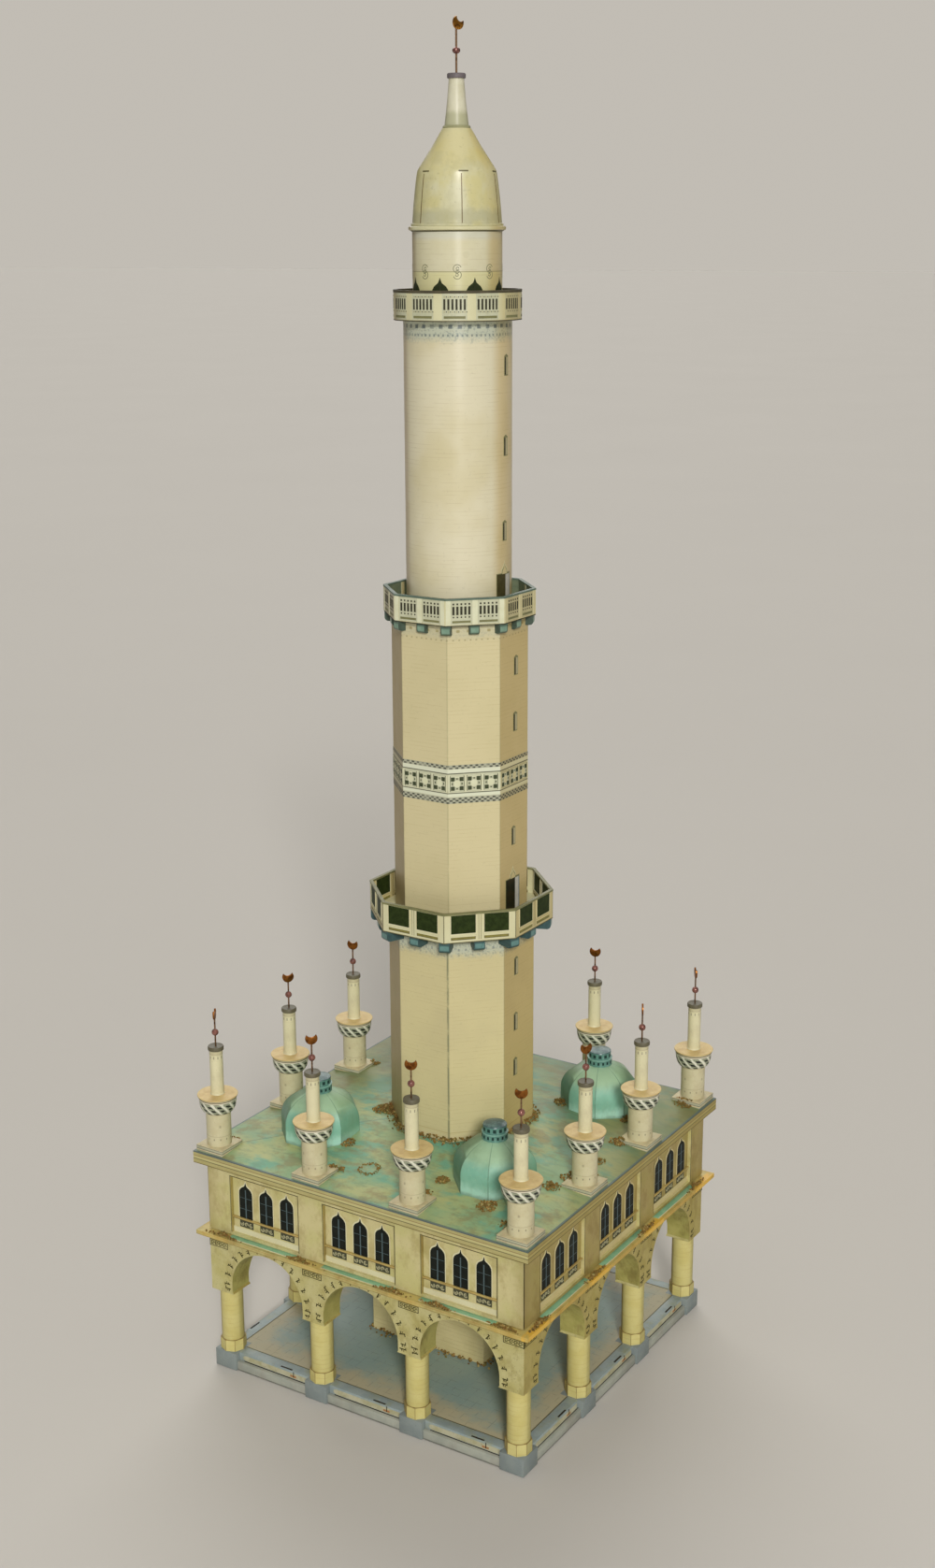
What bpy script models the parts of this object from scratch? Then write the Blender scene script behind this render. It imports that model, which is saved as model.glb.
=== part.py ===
"""Card model of a minaret on a square arcaded base, at the model's own size.

Metres, +Z up. The origin is the middle of the plinth's underside.
The front is -Y. The base has three bays a side, and the tower is octagonal, then round.
"""

import math

import bmesh
import bpy
from mathutils import Matrix

MM = 0.001
SEAT_GAP = 0.3 * MM
OCTAGON = 8
SQUARE = 4
ROUND = 32
SMALL_ROUND = 16

# Plan of the base
COLUMN_OFFSET = 54.6 * MM
BAY = COLUMN_OFFSET * 2 / 3
BAY_PLACES = [-BAY, 0.0, BAY]
WALL_FACE = 59.0 * MM

# Plinth with its pedestals and two-step kerbs
PLINTH_HEIGHT = 6.0 * MM
PEDESTAL_FACE = 58.8 * MM
PEDESTAL_SIDE = 2 * (PEDESTAL_FACE - COLUMN_OFFSET)
LOWER_STEP_FACE = 58.1 * MM
LOWER_STEP_HEIGHT = 3.2 * MM
UPPER_STEP_FACE = 57.0 * MM

# Columns
COLUMN_RADIUS = 3.66 * MM
SOCLE_HALF = 3.95 * MM
SOCLE_HEIGHT = 4.0 * MM
ARCADE_FOOT = 27.95 * MM

# Arcade
ARCADE_DEPTH = 2 * (WALL_FACE - COLUMN_OFFSET)
ARCH_RADIUS = 14.15 * MM
ARCH_SPRING = 31.3 * MM
LEDGE_TOP = 49.45 * MM
LEDGE_THICKNESS = 1.4 * MM
LEDGE_HALF = 62.1 * MM

# Square core of the tower in the arcade hall
CORE_HALF = 21.6 * MM
CORE_WALL = 1.2 * MM

# Upper storey with recessed bays
EAVES_BOTTOM = 73.25 * MM
STOREY_WALL = 3.0 * MM
RECESS_WIDTH = 26.6 * MM
RECESS_BOTTOM = 50.7 * MM
RECESS_TOP = 70.2 * MM
RECESS_DEPTH = 1.2 * MM

# Low hipped roof
ROOF_HALF = 62.0 * MM
ROOF_EDGE = 77.2 * MM
ROOF_TOP = 81.5 * MM
ROOF_CARD = 1.3 * MM

# Turrets, one for each column and a little further out
TURRET_OFFSET = 56.0 * MM
PAD_SIDE = 10.4 * MM
PAD_TOP = 79.3 * MM
TURRET_RADIUS = 4.1 * MM
BALCONY_RADIUS = 6.45 * MM
TURRET_TOP_RADIUS = 2.1 * MM
TURRET_CAP_RADIUS = 2.6 * MM
WIRE_RADIUS = 0.4 * MM
TURRET_BEAD_RADIUS = 1.2 * MM
TURRET_CRESCENT_RADIUS = 1.9 * MM

# Heights on a turret, above its pad
BAND_FOOT = 11.2 * MM
BAND_HEAD = 16.35 * MM
BALCONY_TOP = 16.9 * MM
TURRET_CAP_FOOT = 31.8 * MM
TURRET_CAP_TOP = 33.1 * MM
TURRET_BEAD = 37.6 * MM
TURRET_CRESCENT_FOOT = 41.9 * MM

# Bowl under a turret's balcony, radius and height above its pad in millimetres
TURRET_BOWL = [(5.75, 16.0), (5.65, 14.4), (5.3, 12.4), (4.5, 11.2)]

# Domes on the roof
DOME_OFFSET = 33.0 * MM
DOME_SHOULDER = [(4.0, 94.2), (6.0, 93.1), (8.6, 91.5), (10.6, 89.4), (11.6, 87.2), (11.9, 84.5)]
DOME_LANTERN = [(0.0, 99.3), (2.4, 99.1), (3.4, 98.4), (3.5, 96.6), (4.0, 96.4), (4.0, 93.6), (0.0, 93.6)]

# Tower
LOWER_SHAFT = 21.6 * MM
MIDDLE_SHAFT = 19.55 * MM
UPPER_SHAFT_RADIUS = 16.0 * MM
DRUM_RADIUS = 13.08 * MM
SHAFT_CARD = 1.0 * MM
DECK = 1.0 * MM
PARAPET_CARD = 0.8 * MM
CORBEL_INSET = 0.4 * MM
GALLERY_1 = {"half": 27.15 * MM, "bottom": 150.1 * MM, "top": 159.6 * MM}
CORBELS_1 = {"width": 3.4 * MM, "drop": 3.3 * MM}
GALLERY_2 = {"half": 21.65 * MM, "bottom": 246.8 * MM, "top": 255.0 * MM}
CORBELS_2 = {"width": 3.0 * MM, "drop": 2.9 * MM}
GALLERY_3 = {"half": 18.75 * MM, "bottom": 333.9 * MM, "top": 342.5 * MM}
CORBEL_ROUND = 1.2 * MM
CORNICE_BOTTOM = 359.1 * MM
CORNICE_TOP = 360.2 * MM
CORNICE_RADIUS = 14.15 * MM

# Main dome and finial, radius and height in millimetres
MAIN_DOME = [(4.1, 387.2), (5.4, 385.0), (7.05, 382.2), (9.5, 378.5), (11.4, 375.5), (12.3, 369.0),
             (13.0, 361.0)]
DOME_FLANGE = [(13.4, 361.0), (13.4, 360.5)]
DOME_CARD = 0.8 * MM
NECK = [(4.1, 387.5), (4.1, 388.4), (3.2, 388.4), (2.0, 400.6), (2.65, 400.6), (2.65, 402.2)]
BEAD_HEIGHT = 408.1 * MM
BEAD_RADIUS = 1.35 * MM
TOTAL_HEIGHT = 417.0 * MM
CRESCENT_RADIUS = 1.9 * MM
CRESCENT_THICKNESS = 0.7 * MM
CRESCENT_HOLLOW = 0.85
CRESCENT_RISE = 1.05

# The way that each turret's crescent faces, in degrees from the front towards the right
CRESCENT_TURNS = {
    "front_1": 120, "front_2": 45, "front_3": 25, "front_4": 30,
    "right_2": 60, "right_3": 118, "back_4": 125, "back_3": 15,
    "back_2": 80, "back_1": 140, "left_3": 10, "left_2": 50,
}


def srgb(red, green, blue):
    """Linear colour of an 8-bit sRGB colour."""
    return tuple(((c / 255 + 0.055) / 1.055) ** 2.4 for c in (red, green, blue)) + (1.0,)


def make_material(name, colour, roughness=0.75, metallic=0.0):
    """A Principled material with one colour."""
    material = bpy.data.materials.new(name)
    material.use_nodes = True
    shader = material.node_tree.nodes["Principled BSDF"]
    shader.inputs["Base Color"].default_value = colour
    shader.inputs["Roughness"].default_value = roughness
    shader.inputs["Metallic"].default_value = metallic
    return material


def start_clean():
    """Empty the scene and make the two collections."""
    for old in list(bpy.data.objects):
        bpy.data.objects.remove(old)
    parts = bpy.data.collections.new("minaret_model")
    cutters = bpy.data.collections.new("cutters")
    for collection in (parts, cutters):
        bpy.context.scene.collection.children.link(collection)
    return parts, cutters


PARTS, CUTTERS = start_clean()
CREAM = make_material("cream_card", srgb(214, 201, 152))
YELLOW = make_material("yellow_card", srgb(208, 193, 122))
STONE = make_material("blue_grey_card", srgb(142, 157, 160))
OCHRE = make_material("ochre_card", srgb(190, 165, 80))
VERDIGRIS = make_material("verdigris_card", srgb(124, 160, 132))
AQUA = make_material("aqua_card", srgb(150, 200, 180))
BRASS = make_material("brass_wire", srgb(150, 105, 60), 0.35, 1.0)


def place(item, name, material, helper=False):
    """Name an object, dress it and put it in the right collection."""
    item.name = name
    item.data.name = name
    item.data.materials.clear()
    item.data.materials.append(material)
    for collection in list(item.users_collection):
        collection.objects.unlink(item)
    (CUTTERS if helper else PARTS).objects.link(item)
    if helper:
        item.hide_render = True
        item.display_type = "WIRE"
    return item


def box(name, material, low, high, helper=False):
    """A box between two opposite corners."""
    size = [b - a for a, b in zip(low, high)]
    middle = [(a + b) / 2 for a, b in zip(low, high)]
    bpy.ops.mesh.primitive_cube_add(size=1.0, location=middle)
    item = bpy.context.active_object
    item.scale = size
    bpy.ops.object.transform_apply(location=False, rotation=False, scale=True)
    return place(item, name, material, helper)


def turned(name, material, profile, sides, closed=False, helper=False):
    """A turned shape. The profile is (radius, height), down the outer side.

    With 8 or 4 sides the radius is that of the flats, and the flats face the axes.
    """
    flats = sides in (OCTAGON, SQUARE)
    reach = 1 / math.cos(math.pi / sides) if flats else 1.0
    mesh = bpy.data.meshes.new(name)
    points = [(r * reach, 0.0, z) for r, z in profile]
    edges = [(i, i + 1) for i in range(len(points) - 1)]
    if closed:
        edges.append((len(points) - 1, 0))
    mesh.from_pydata(points, edges, [])
    item = bpy.data.objects.new(name, mesh)
    PARTS.objects.link(item)
    if flats:
        item.rotation_euler.z = math.pi / sides
    screw = item.modifiers.new("turn", "SCREW")
    screw.steps = screw.render_steps = sides
    screw.use_merge_vertices = True
    screw.merge_threshold = 1e-6
    screw.use_smooth_shade = not flats
    return place(item, name, material, helper)


def tube(name, material, half, card, bottom, top, sides):
    """An open card tube standing on its end."""
    profile = [(half, top), (half, bottom), (half - card, bottom), (half - card, top)]
    return turned(name, material, profile, sides, closed=True)


def extruded(name, material, outline, thickness, matrix, helper=False):
    """A flat outline with a thickness, its middle plane placed by a matrix."""
    curve = bpy.data.curves.new(name, "CURVE")
    curve.dimensions = "2D"
    curve.fill_mode = "BOTH"
    curve.extrude = thickness / 2
    spline = curve.splines.new("POLY")
    spline.points.add(len(outline) - 1)
    for point, (x, y) in zip(spline.points, outline):
        point.co = (x, y, 0.0, 1.0)
    spline.use_cyclic_u = True
    source = bpy.data.objects.new(name, curve)
    PARTS.objects.link(source)
    mesh = mesh_of(source)
    bpy.data.objects.remove(source)
    item = bpy.data.objects.new(name, mesh)
    item.matrix_world = matrix
    PARTS.objects.link(item)
    return place(item, name, material, helper)


def mesh_of(source):
    """The evaluated mesh of an object, with its doubles merged."""
    bpy.context.view_layer.update()
    graph = bpy.context.evaluated_depsgraph_get()
    mesh = bpy.data.meshes.new_from_object(source.evaluated_get(graph))
    work = bmesh.new()
    work.from_mesh(mesh)
    bmesh.ops.remove_doubles(work, verts=work.verts, dist=1e-6)
    work.to_mesh(mesh)
    work.free()
    return mesh


def combine(item, other, operation):
    """Join a helper to an object, or cut the object with it."""
    step = item.modifiers.new(operation.lower(), "BOOLEAN")
    step.operation = operation
    step.solver = "EXACT"
    step.object = other
    return item


def sides_of_square():
    """The four sides by name, with the turn that takes the front there."""
    return [(side, Matrix.Rotation(math.radians(turn), 4, "Z"))
            for side, turn in (("front", 0), ("right", 90), ("back", 180), ("left", 270))]


def ring_places(offset=COLUMN_OFFSET):
    """Name and place of the twelve columns or turrets round the base, each once."""
    row = [-offset, -BAY / 2, BAY / 2, offset]
    places = {}
    for side, y in (("front", -offset), ("back", offset)):
        for index, x in enumerate(row, start=1):
            places[f"{side}_{index}"] = (x, y)
    for side, x in (("left", -offset), ("right", offset)):
        for index, y in list(enumerate(row, start=1))[1:3]:
            places[f"{side}_{index}"] = (x, y)
    return places


def make_plinth():
    """Floor slab with a two-step edge and a pedestal under each column."""
    plinth = turned("plinth", STONE, [
        (0.0, PLINTH_HEIGHT), (UPPER_STEP_FACE, PLINTH_HEIGHT),
        (UPPER_STEP_FACE, LOWER_STEP_HEIGHT), (LOWER_STEP_FACE, LOWER_STEP_HEIGHT),
        (LOWER_STEP_FACE, 0.0), (0.0, 0.0)], SQUARE)
    half = PEDESTAL_SIDE / 2
    for name, (x, y) in ring_places().items():
        pedestal = box(f"pedestal_{name}", STONE, (x - half, y - half, 0.0),
                       (x + half, y + half, PLINTH_HEIGHT), helper=True)
        combine(plinth, pedestal, "UNION")
    return plinth


def make_columns():
    """Round shafts on octagonal socles, one on each pedestal."""
    foot = PLINTH_HEIGHT + SEAT_GAP
    head = ARCADE_FOOT - SEAT_GAP
    for name, (x, y) in ring_places().items():
        socle = turned(f"socle_{name}", YELLOW, [
            (0.0, foot + SOCLE_HEIGHT), (SOCLE_HALF, foot + SOCLE_HEIGHT),
            (SOCLE_HALF, foot), (0.0, foot)], OCTAGON, helper=True)
        column = turned(f"column_{name}", YELLOW, [
            (0.0, head), (COLUMN_RADIUS, head), (COLUMN_RADIUS, foot + SOCLE_HEIGHT / 2),
            (0.0, foot + SOCLE_HEIGHT / 2)], ROUND // 2)
        for item in (socle, column):
            item.location = (x, y, 0.0)
        combine(column, socle, "UNION")


def mitred_wall(name, material, depth, bottom, top):
    """A wall along the front, mitred at both ends to meet its neighbours."""
    outer = WALL_FACE - SEAT_GAP / 2
    inner = outer - depth
    outline = [(-outer, -WALL_FACE), (outer, -WALL_FACE),
               (inner, depth - WALL_FACE), (-inner, depth - WALL_FACE)]
    middle = Matrix.Translation((0.0, 0.0, (bottom + top) / 2))
    return extruded(name, material, outline, top - bottom, middle)


def arch_outline():
    """Outline of one arch opening, seen from the front, from below the wall's foot."""
    below = ARCADE_FOOT - 2 * MM
    arc_points = 20
    arc = [(ARCH_RADIUS * math.cos(math.pi * i / arc_points),
            ARCH_SPRING + ARCH_RADIUS * math.sin(math.pi * i / arc_points)) for i in range(arc_points + 1)]
    return [(-ARCH_RADIUS, below), (ARCH_RADIUS, below)] + arc


def facing_front(x, y, z=0.0):
    """Matrix that stands a flat outline up, facing the front."""
    return Matrix.Translation((x, y, z)) @ Matrix.Rotation(math.pi / 2, 4, "X")


def make_arcade():
    """Four walls of three round arches, standing on the columns."""
    first = mitred_wall("arcade_wall_front", CREAM, ARCADE_DEPTH, ARCADE_FOOT,
                        LEDGE_TOP - LEDGE_THICKNESS - SEAT_GAP)
    for number, x in enumerate(BAY_PLACES, start=1):
        opening = extruded(f"arch_{number}", CREAM, arch_outline(), 3 * ARCADE_DEPTH,
                           facing_front(x, -COLUMN_OFFSET), helper=True)
        combine(first, opening, "DIFFERENCE")
    copy_to_sides(first)


def copy_to_sides(first):
    """Make the same piece for the right, the back and the left."""
    mesh = mesh_of(first)
    place_matrix = first.matrix_world.copy()
    material = first.data.materials[0]
    stem = first.name.removesuffix("front")
    bpy.data.objects.remove(first)
    for side, turn in sides_of_square():
        item = bpy.data.objects.new(stem + side, mesh.copy())
        PARTS.objects.link(item)
        item.matrix_world = turn @ place_matrix
        place(item, stem + side, material)


def make_core_and_ledge():
    """The tower's square core in the hall and the ledge plate over the arcade."""
    tube("tower_core", CREAM, CORE_HALF, CORE_WALL, PLINTH_HEIGHT + SEAT_GAP,
         LEDGE_TOP - LEDGE_THICKNESS - SEAT_GAP, SQUARE)
    box("ledge", OCHRE, (-LEDGE_HALF, -LEDGE_HALF, LEDGE_TOP - LEDGE_THICKNESS),
        (LEDGE_HALF, LEDGE_HALF, LEDGE_TOP))


def make_storey():
    """Four walls with three recessed bays each."""
    first = mitred_wall("storey_wall_front", CREAM, STOREY_WALL, LEDGE_TOP + SEAT_GAP,
                        EAVES_BOTTOM - SEAT_GAP)
    for number, x in enumerate(BAY_PLACES, start=1):
        recess = box(f"recess_{number}", CREAM,
                     (x - RECESS_WIDTH / 2, -WALL_FACE - RECESS_DEPTH, RECESS_BOTTOM),
                     (x + RECESS_WIDTH / 2, -WALL_FACE + RECESS_DEPTH, RECESS_TOP), helper=True)
        combine(first, recess, "DIFFERENCE")
    copy_to_sides(first)


def roof_profile(lift=0.0, bottom=EAVES_BOTTOM):
    """Outer profile of the roof, from its flat top to the foot of the fascia."""
    return [(0.0, ROOF_TOP + lift), (CORE_HALF, ROOF_TOP + lift),
            (ROOF_HALF, ROOF_EDGE + lift), (ROOF_HALF, bottom)]


def make_roof():
    """Hollow card roof, with a soffit on the walls, a fascia, four low slopes and a flat top."""
    soffit_edge = WALL_FACE - STOREY_WALL
    soffit_top = EAVES_BOTTOM + ROOF_CARD
    fascia_back = ROOF_HALF - ROOF_CARD
    inner = [(soffit_edge, EAVES_BOTTOM), (soffit_edge, soffit_top), (fascia_back, soffit_top),
             (fascia_back, ROOF_EDGE - ROOF_CARD), (CORE_HALF, ROOF_TOP - ROOF_CARD),
             (0.0, ROOF_TOP - ROOF_CARD)]
    turned("roof", VERDIGRIS, roof_profile() + inner, SQUARE)
    clearance = roof_profile(lift=SEAT_GAP, bottom=EAVES_BOTTOM / 2)
    return turned("roof_clearance", VERDIGRIS, clearance + [(0.0, EAVES_BOTTOM / 2)], SQUARE, helper=True)


def horn_height(radius):
    """Height of a crescent's horns above the middle of its outer circle."""
    rise = CRESCENT_RISE * radius
    hollow = CRESCENT_HOLLOW * radius
    return (rise ** 2 + radius ** 2 - hollow ** 2) / (2 * rise)


def crescent_outline(radius):
    """Crescent with its horns up, its lowest point at the origin."""
    rise = CRESCENT_RISE * radius
    hollow = CRESCENT_HOLLOW * radius
    height = horn_height(radius)
    horn = math.atan2(height, math.sqrt(radius ** 2 - height ** 2))
    inner_horn = math.atan2(height - rise, math.sqrt(radius ** 2 - height ** 2))
    arc_points = 10
    sweep = math.pi + 2 * horn
    inner_sweep = math.pi + 2 * inner_horn
    outer = [math.pi - horn + sweep * i / arc_points for i in range(arc_points + 1)]
    inner = [2 * math.pi + inner_horn - inner_sweep * i / arc_points for i in range(1, arc_points)]
    return ([(radius * math.cos(a), radius + radius * math.sin(a)) for a in outer]
            + [(hollow * math.cos(a), radius + rise + hollow * math.sin(a)) for a in inner])


def crescent(name, radius, x, y, z, turn):
    """A flat crescent on top of a wire."""
    stand = (Matrix.Translation((x, y, z)) @ Matrix.Rotation(math.radians(turn), 4, "Z")
             @ Matrix.Rotation(math.pi / 2, 4, "X"))
    return extruded(name, BRASS, crescent_outline(radius), CRESCENT_THICKNESS, stand, helper=True)


def bead_profile(height, radius):
    """Down the outer side of a bead on a wire."""
    start = math.asin(WIRE_RADIUS / radius)
    sweep = math.pi - 2 * start
    arc_points = 5
    angles = [start + sweep * i / arc_points for i in range(arc_points + 1)]
    return [(radius * math.sin(a), height + radius * math.cos(a)) for a in angles]


def turret_profile():
    """Down the outer side of a turret, from the end of its wire to the pad."""
    wire_top = TURRET_CRESCENT_FOOT + SEAT_GAP
    sunk = -0.5 * MM
    bowl = [(radius * MM, height * MM) for radius, height in TURRET_BOWL]
    above_pad = ([(0.0, wire_top), (WIRE_RADIUS, wire_top)]
                 + bead_profile(TURRET_BEAD, TURRET_BEAD_RADIUS)
                 + [(WIRE_RADIUS, TURRET_CAP_TOP), (TURRET_CAP_RADIUS, TURRET_CAP_TOP),
                    (TURRET_CAP_RADIUS, TURRET_CAP_FOOT), (TURRET_TOP_RADIUS, TURRET_CAP_FOOT),
                    (TURRET_TOP_RADIUS, BALCONY_TOP), (BALCONY_RADIUS, BALCONY_TOP),
                    (BALCONY_RADIUS, BAND_HEAD)]
                 + bowl + [(TURRET_RADIUS, BAND_FOOT), (TURRET_RADIUS, sunk), (0.0, sunk)])
    return [(radius, PAD_TOP + height) for radius, height in above_pad]


def make_turrets(roof_clearance):
    """Twelve turrets on square pads that follow the roof's slope."""
    half = PAD_SIDE / 2
    for name, (x, y) in ring_places(TURRET_OFFSET).items():
        turret = turned(f"turret_{name}", CREAM, turret_profile(), SMALL_ROUND)
        turret.location = (x, y, 0.0)
        pad = box(f"pad_{name}", CREAM, (x - half, y - half, EAVES_BOTTOM),
                  (x + half, y + half, PAD_TOP), helper=True)
        moon = crescent(f"crescent_{name}", TURRET_CRESCENT_RADIUS, x, y, PAD_TOP + TURRET_CRESCENT_FOOT,
                        CRESCENT_TURNS[name])
        combine(turret, pad, "UNION")
        combine(turret, moon, "UNION")
        combine(turret, roof_clearance, "DIFFERENCE")


def make_roof_domes(roof_clearance):
    """Four eight-sided domes with round lanterns."""
    shoulder = [(r * MM, z * MM) for r, z in DOME_SHOULDER]
    lantern_points = [(r * MM, z * MM) for r, z in DOME_LANTERN]
    for name, x_sign, y_sign in (("front_left", -1, -1), ("front_right", 1, -1),
                                 ("back_right", 1, 1), ("back_left", -1, 1)):
        widest = shoulder[-1][0]
        profile = [(0.0, shoulder[0][1])] + shoulder + [(widest, EAVES_BOTTOM), (0.0, EAVES_BOTTOM)]
        dome = turned(f"roof_dome_{name}", AQUA, profile, OCTAGON)
        lantern = turned(f"lantern_{name}", AQUA, lantern_points, SMALL_ROUND, helper=True)
        for item in (dome, lantern):
            item.location = (x_sign * DOME_OFFSET, y_sign * DOME_OFFSET, 0.0)
        combine(dome, lantern, "UNION")
        combine(dome, roof_clearance, "DIFFERENCE")


def corbel_outline(inner, outer, drop):
    """Corbel with a round lower front edge, seen from its side. It reaches up into the deck."""
    top = DECK / 2
    arc_points = 4
    angles = [math.pi / 2 * i / arc_points for i in range(arc_points + 1)]
    arc = [(outer - CORBEL_ROUND * (1 - math.cos(a)), CORBEL_ROUND * (1 - math.sin(a)) - drop) for a in angles]
    return [(inner, top), (outer, top)] + arc + [(inner, -drop)]


def gallery_profile(half, bottom, top):
    """Outer profile of a deck with a parapet at its edge."""
    inside = half - PARAPET_CARD
    return [(0.0, bottom + DECK), (inside, bottom + DECK), (inside, top),
            (half, top), (half, bottom), (0.0, bottom)]


def gallery_with_corbels(name, half, bottom, top, shaft, width, drop):
    """Octagonal gallery, carried by a corbel at each corner and under each side."""
    gallery = turned(name, CREAM, gallery_profile(half, bottom, top), OCTAGON)
    corner = 1 / math.cos(math.pi / OCTAGON)
    for number in range(2 * OCTAGON):
        stretch = corner if number % 2 else 1.0
        outline = corbel_outline(shaft * stretch + SEAT_GAP, half * stretch - CORBEL_INSET, drop)
        turn = Matrix.Rotation(math.pi / OCTAGON * number, 4, "Z")
        stand = turn @ Matrix.Translation((0.0, 0.0, bottom)) @ Matrix.Rotation(math.pi / 2, 4, "X")
        corbel = extruded(f"{name}_corbel_{number + 1}", CREAM, outline, width, stand, helper=True)
        combine(gallery, corbel, "UNION")


def make_tower():
    """Three shafts, three galleries and the lantern drum, stacked."""
    tube("shaft_lower", CREAM, LOWER_SHAFT, SHAFT_CARD, ROOF_TOP + SEAT_GAP,
         GALLERY_1["bottom"] - SEAT_GAP, OCTAGON)
    gallery_with_corbels("gallery_1", shaft=LOWER_SHAFT, **GALLERY_1, **CORBELS_1)
    tube("shaft_middle", CREAM, MIDDLE_SHAFT, SHAFT_CARD, GALLERY_1["bottom"] + DECK + SEAT_GAP,
         GALLERY_2["bottom"] - SEAT_GAP, OCTAGON)
    gallery_with_corbels("gallery_2", shaft=MIDDLE_SHAFT, **GALLERY_2, **CORBELS_2)
    tube("shaft_upper", CREAM, UPPER_SHAFT_RADIUS, SHAFT_CARD, GALLERY_2["bottom"] + DECK + SEAT_GAP,
         GALLERY_3["bottom"] - SEAT_GAP, ROUND)
    turned("gallery_3", CREAM, gallery_profile(**GALLERY_3), ROUND)
    tube("lantern_drum", CREAM, DRUM_RADIUS, SHAFT_CARD, GALLERY_3["bottom"] + DECK + SEAT_GAP,
         CORNICE_BOTTOM - SEAT_GAP, ROUND)
    turned("dome_cornice", CREAM, [
        (0.0, CORNICE_TOP), (CORNICE_RADIUS, CORNICE_TOP), (CORNICE_RADIUS, CORNICE_BOTTOM),
        (0.0, CORNICE_BOTTOM)], ROUND)


def make_main_dome():
    """Card dome with a flange round its foot, open below."""
    outer = [(r * MM, z * MM) for r, z in MAIN_DOME]
    flange = [(r * MM, z * MM) for r, z in DOME_FLANGE]
    inner = [(r - DOME_CARD, z - DOME_CARD / 2) for r, z in outer[1:]]
    profile = ([(0.0, outer[0][1])] + outer + flange + [(inner[-1][0], flange[-1][1])]
               + inner[::-1] + [(0.0, outer[0][1] - DOME_CARD)])
    turned("main_dome", YELLOW, profile, ROUND)


def make_finial():
    """Card neck, cap, wire, bead and crescent."""
    neck = [(r * MM, z * MM) for r, z in NECK]
    crescent_foot = TOTAL_HEIGHT - CRESCENT_RADIUS - horn_height(CRESCENT_RADIUS)
    wire_top = crescent_foot + SEAT_GAP
    profile = ([(0.0, wire_top), (WIRE_RADIUS, wire_top)]
               + bead_profile(BEAD_HEIGHT, BEAD_RADIUS)
               + [(WIRE_RADIUS, neck[-1][1])] + neck[::-1] + [(0.0, neck[0][1])])
    finial = turned("finial", BRASS, profile, SMALL_ROUND)
    moon = crescent("finial_crescent", CRESCENT_RADIUS, 0.0, 0.0, crescent_foot, 25)
    combine(finial, moon, "UNION")


make_plinth()
make_columns()
make_arcade()
make_core_and_ledge()
make_storey()
ROOF_CLEARANCE = make_roof()
make_turrets(ROOF_CLEARANCE)
make_roof_domes(ROOF_CLEARANCE)
make_tower()
make_main_dome()
make_finial()
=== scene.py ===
"""Looks of a card model of a minaret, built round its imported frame.

Every size is in millimetres unless a name says otherwise, and is turned into
metres where a mesh is made. The front is -Y, an azimuth is counted from the
front towards +X, and the origin is the middle of the plinth's underside.
"""

from __future__ import annotations

import logging
import math
import random
from dataclasses import dataclass, replace
from enum import Enum
from typing import Iterable, Sequence

import bpy
import numpy as np
from mathutils import Matrix, Vector

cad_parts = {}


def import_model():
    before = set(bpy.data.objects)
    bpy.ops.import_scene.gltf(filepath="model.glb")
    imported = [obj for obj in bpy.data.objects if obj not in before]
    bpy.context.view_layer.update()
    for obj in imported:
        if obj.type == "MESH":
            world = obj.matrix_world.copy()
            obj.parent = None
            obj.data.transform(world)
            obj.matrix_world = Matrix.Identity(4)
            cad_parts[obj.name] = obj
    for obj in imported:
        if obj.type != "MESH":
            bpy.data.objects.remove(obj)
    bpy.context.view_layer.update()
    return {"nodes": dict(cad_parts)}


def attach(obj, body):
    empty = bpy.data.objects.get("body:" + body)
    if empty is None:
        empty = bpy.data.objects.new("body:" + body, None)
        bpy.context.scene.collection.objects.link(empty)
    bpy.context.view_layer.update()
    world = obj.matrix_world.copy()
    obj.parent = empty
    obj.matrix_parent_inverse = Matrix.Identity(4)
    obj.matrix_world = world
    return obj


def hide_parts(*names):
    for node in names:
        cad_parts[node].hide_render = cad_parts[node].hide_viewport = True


LOG = logging.getLogger("minaret")
MM = 0.001
OCTAGON = 8
SQUARE = 4
ROUND = 96
SMALL_ROUND = 40
SUNK = 0.06
PRINT_DEPTH = 0.12
SMOOTH_LIMIT = math.radians(32)
MERGE_REACH = 1e-6

BAY = 36.4
BAYS = (-BAY, 0.0, BAY)
FACE = 59.0
PLINTH_TOP = 6.0
ARCADE_FOOT = 27.95
PAD_HALF = 5.2
PAD_TOP = 79.3
ROOF_HALF = 62.0
ROOF_EDGE = 77.2
LOWER_SHAFT = 21.6
MIDDLE_SHAFT = 19.55
UPPER_SHAFT = 16.0
DRUM = 13.08
DECKS = (150.1, 246.8, 333.9)
PARAPETS = (159.6, 255.0, 342.5)

Ink = tuple[float, float, float, float]
Outline = Sequence[tuple[float, float]]
Piece = bpy.types.Object
Crumb = tuple[float, float, float, float]


def ink(red: int, green: int, blue: int) -> Ink:
    """Linear colour of an 8-bit sRGB colour."""
    return tuple(((c / 255 + 0.055) / 1.055) ** 2.4 for c in (red, green, blue)) + (1.0,)


def around(azimuth: float) -> Matrix:
    """Turn that takes the front to an azimuth in degrees."""
    return Matrix.Rotation(math.radians(azimuth), 4, "Z")


def tilted(degrees: float) -> Matrix:
    """Turn of a flat piece in the plane of the front."""
    return Matrix.Rotation(math.radians(degrees), 4, "Y")


def at(x: float, y: float, z: float) -> Matrix:
    """Move to a place in millimetres."""
    return Matrix.Translation((x * MM, y * MM, z * MM))


def evenly(count: int, start: float = 0.0) -> list[Matrix]:
    """Turns that share the circle evenly."""
    return [around(start + 360 * i / count) for i in range(count)]


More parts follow.
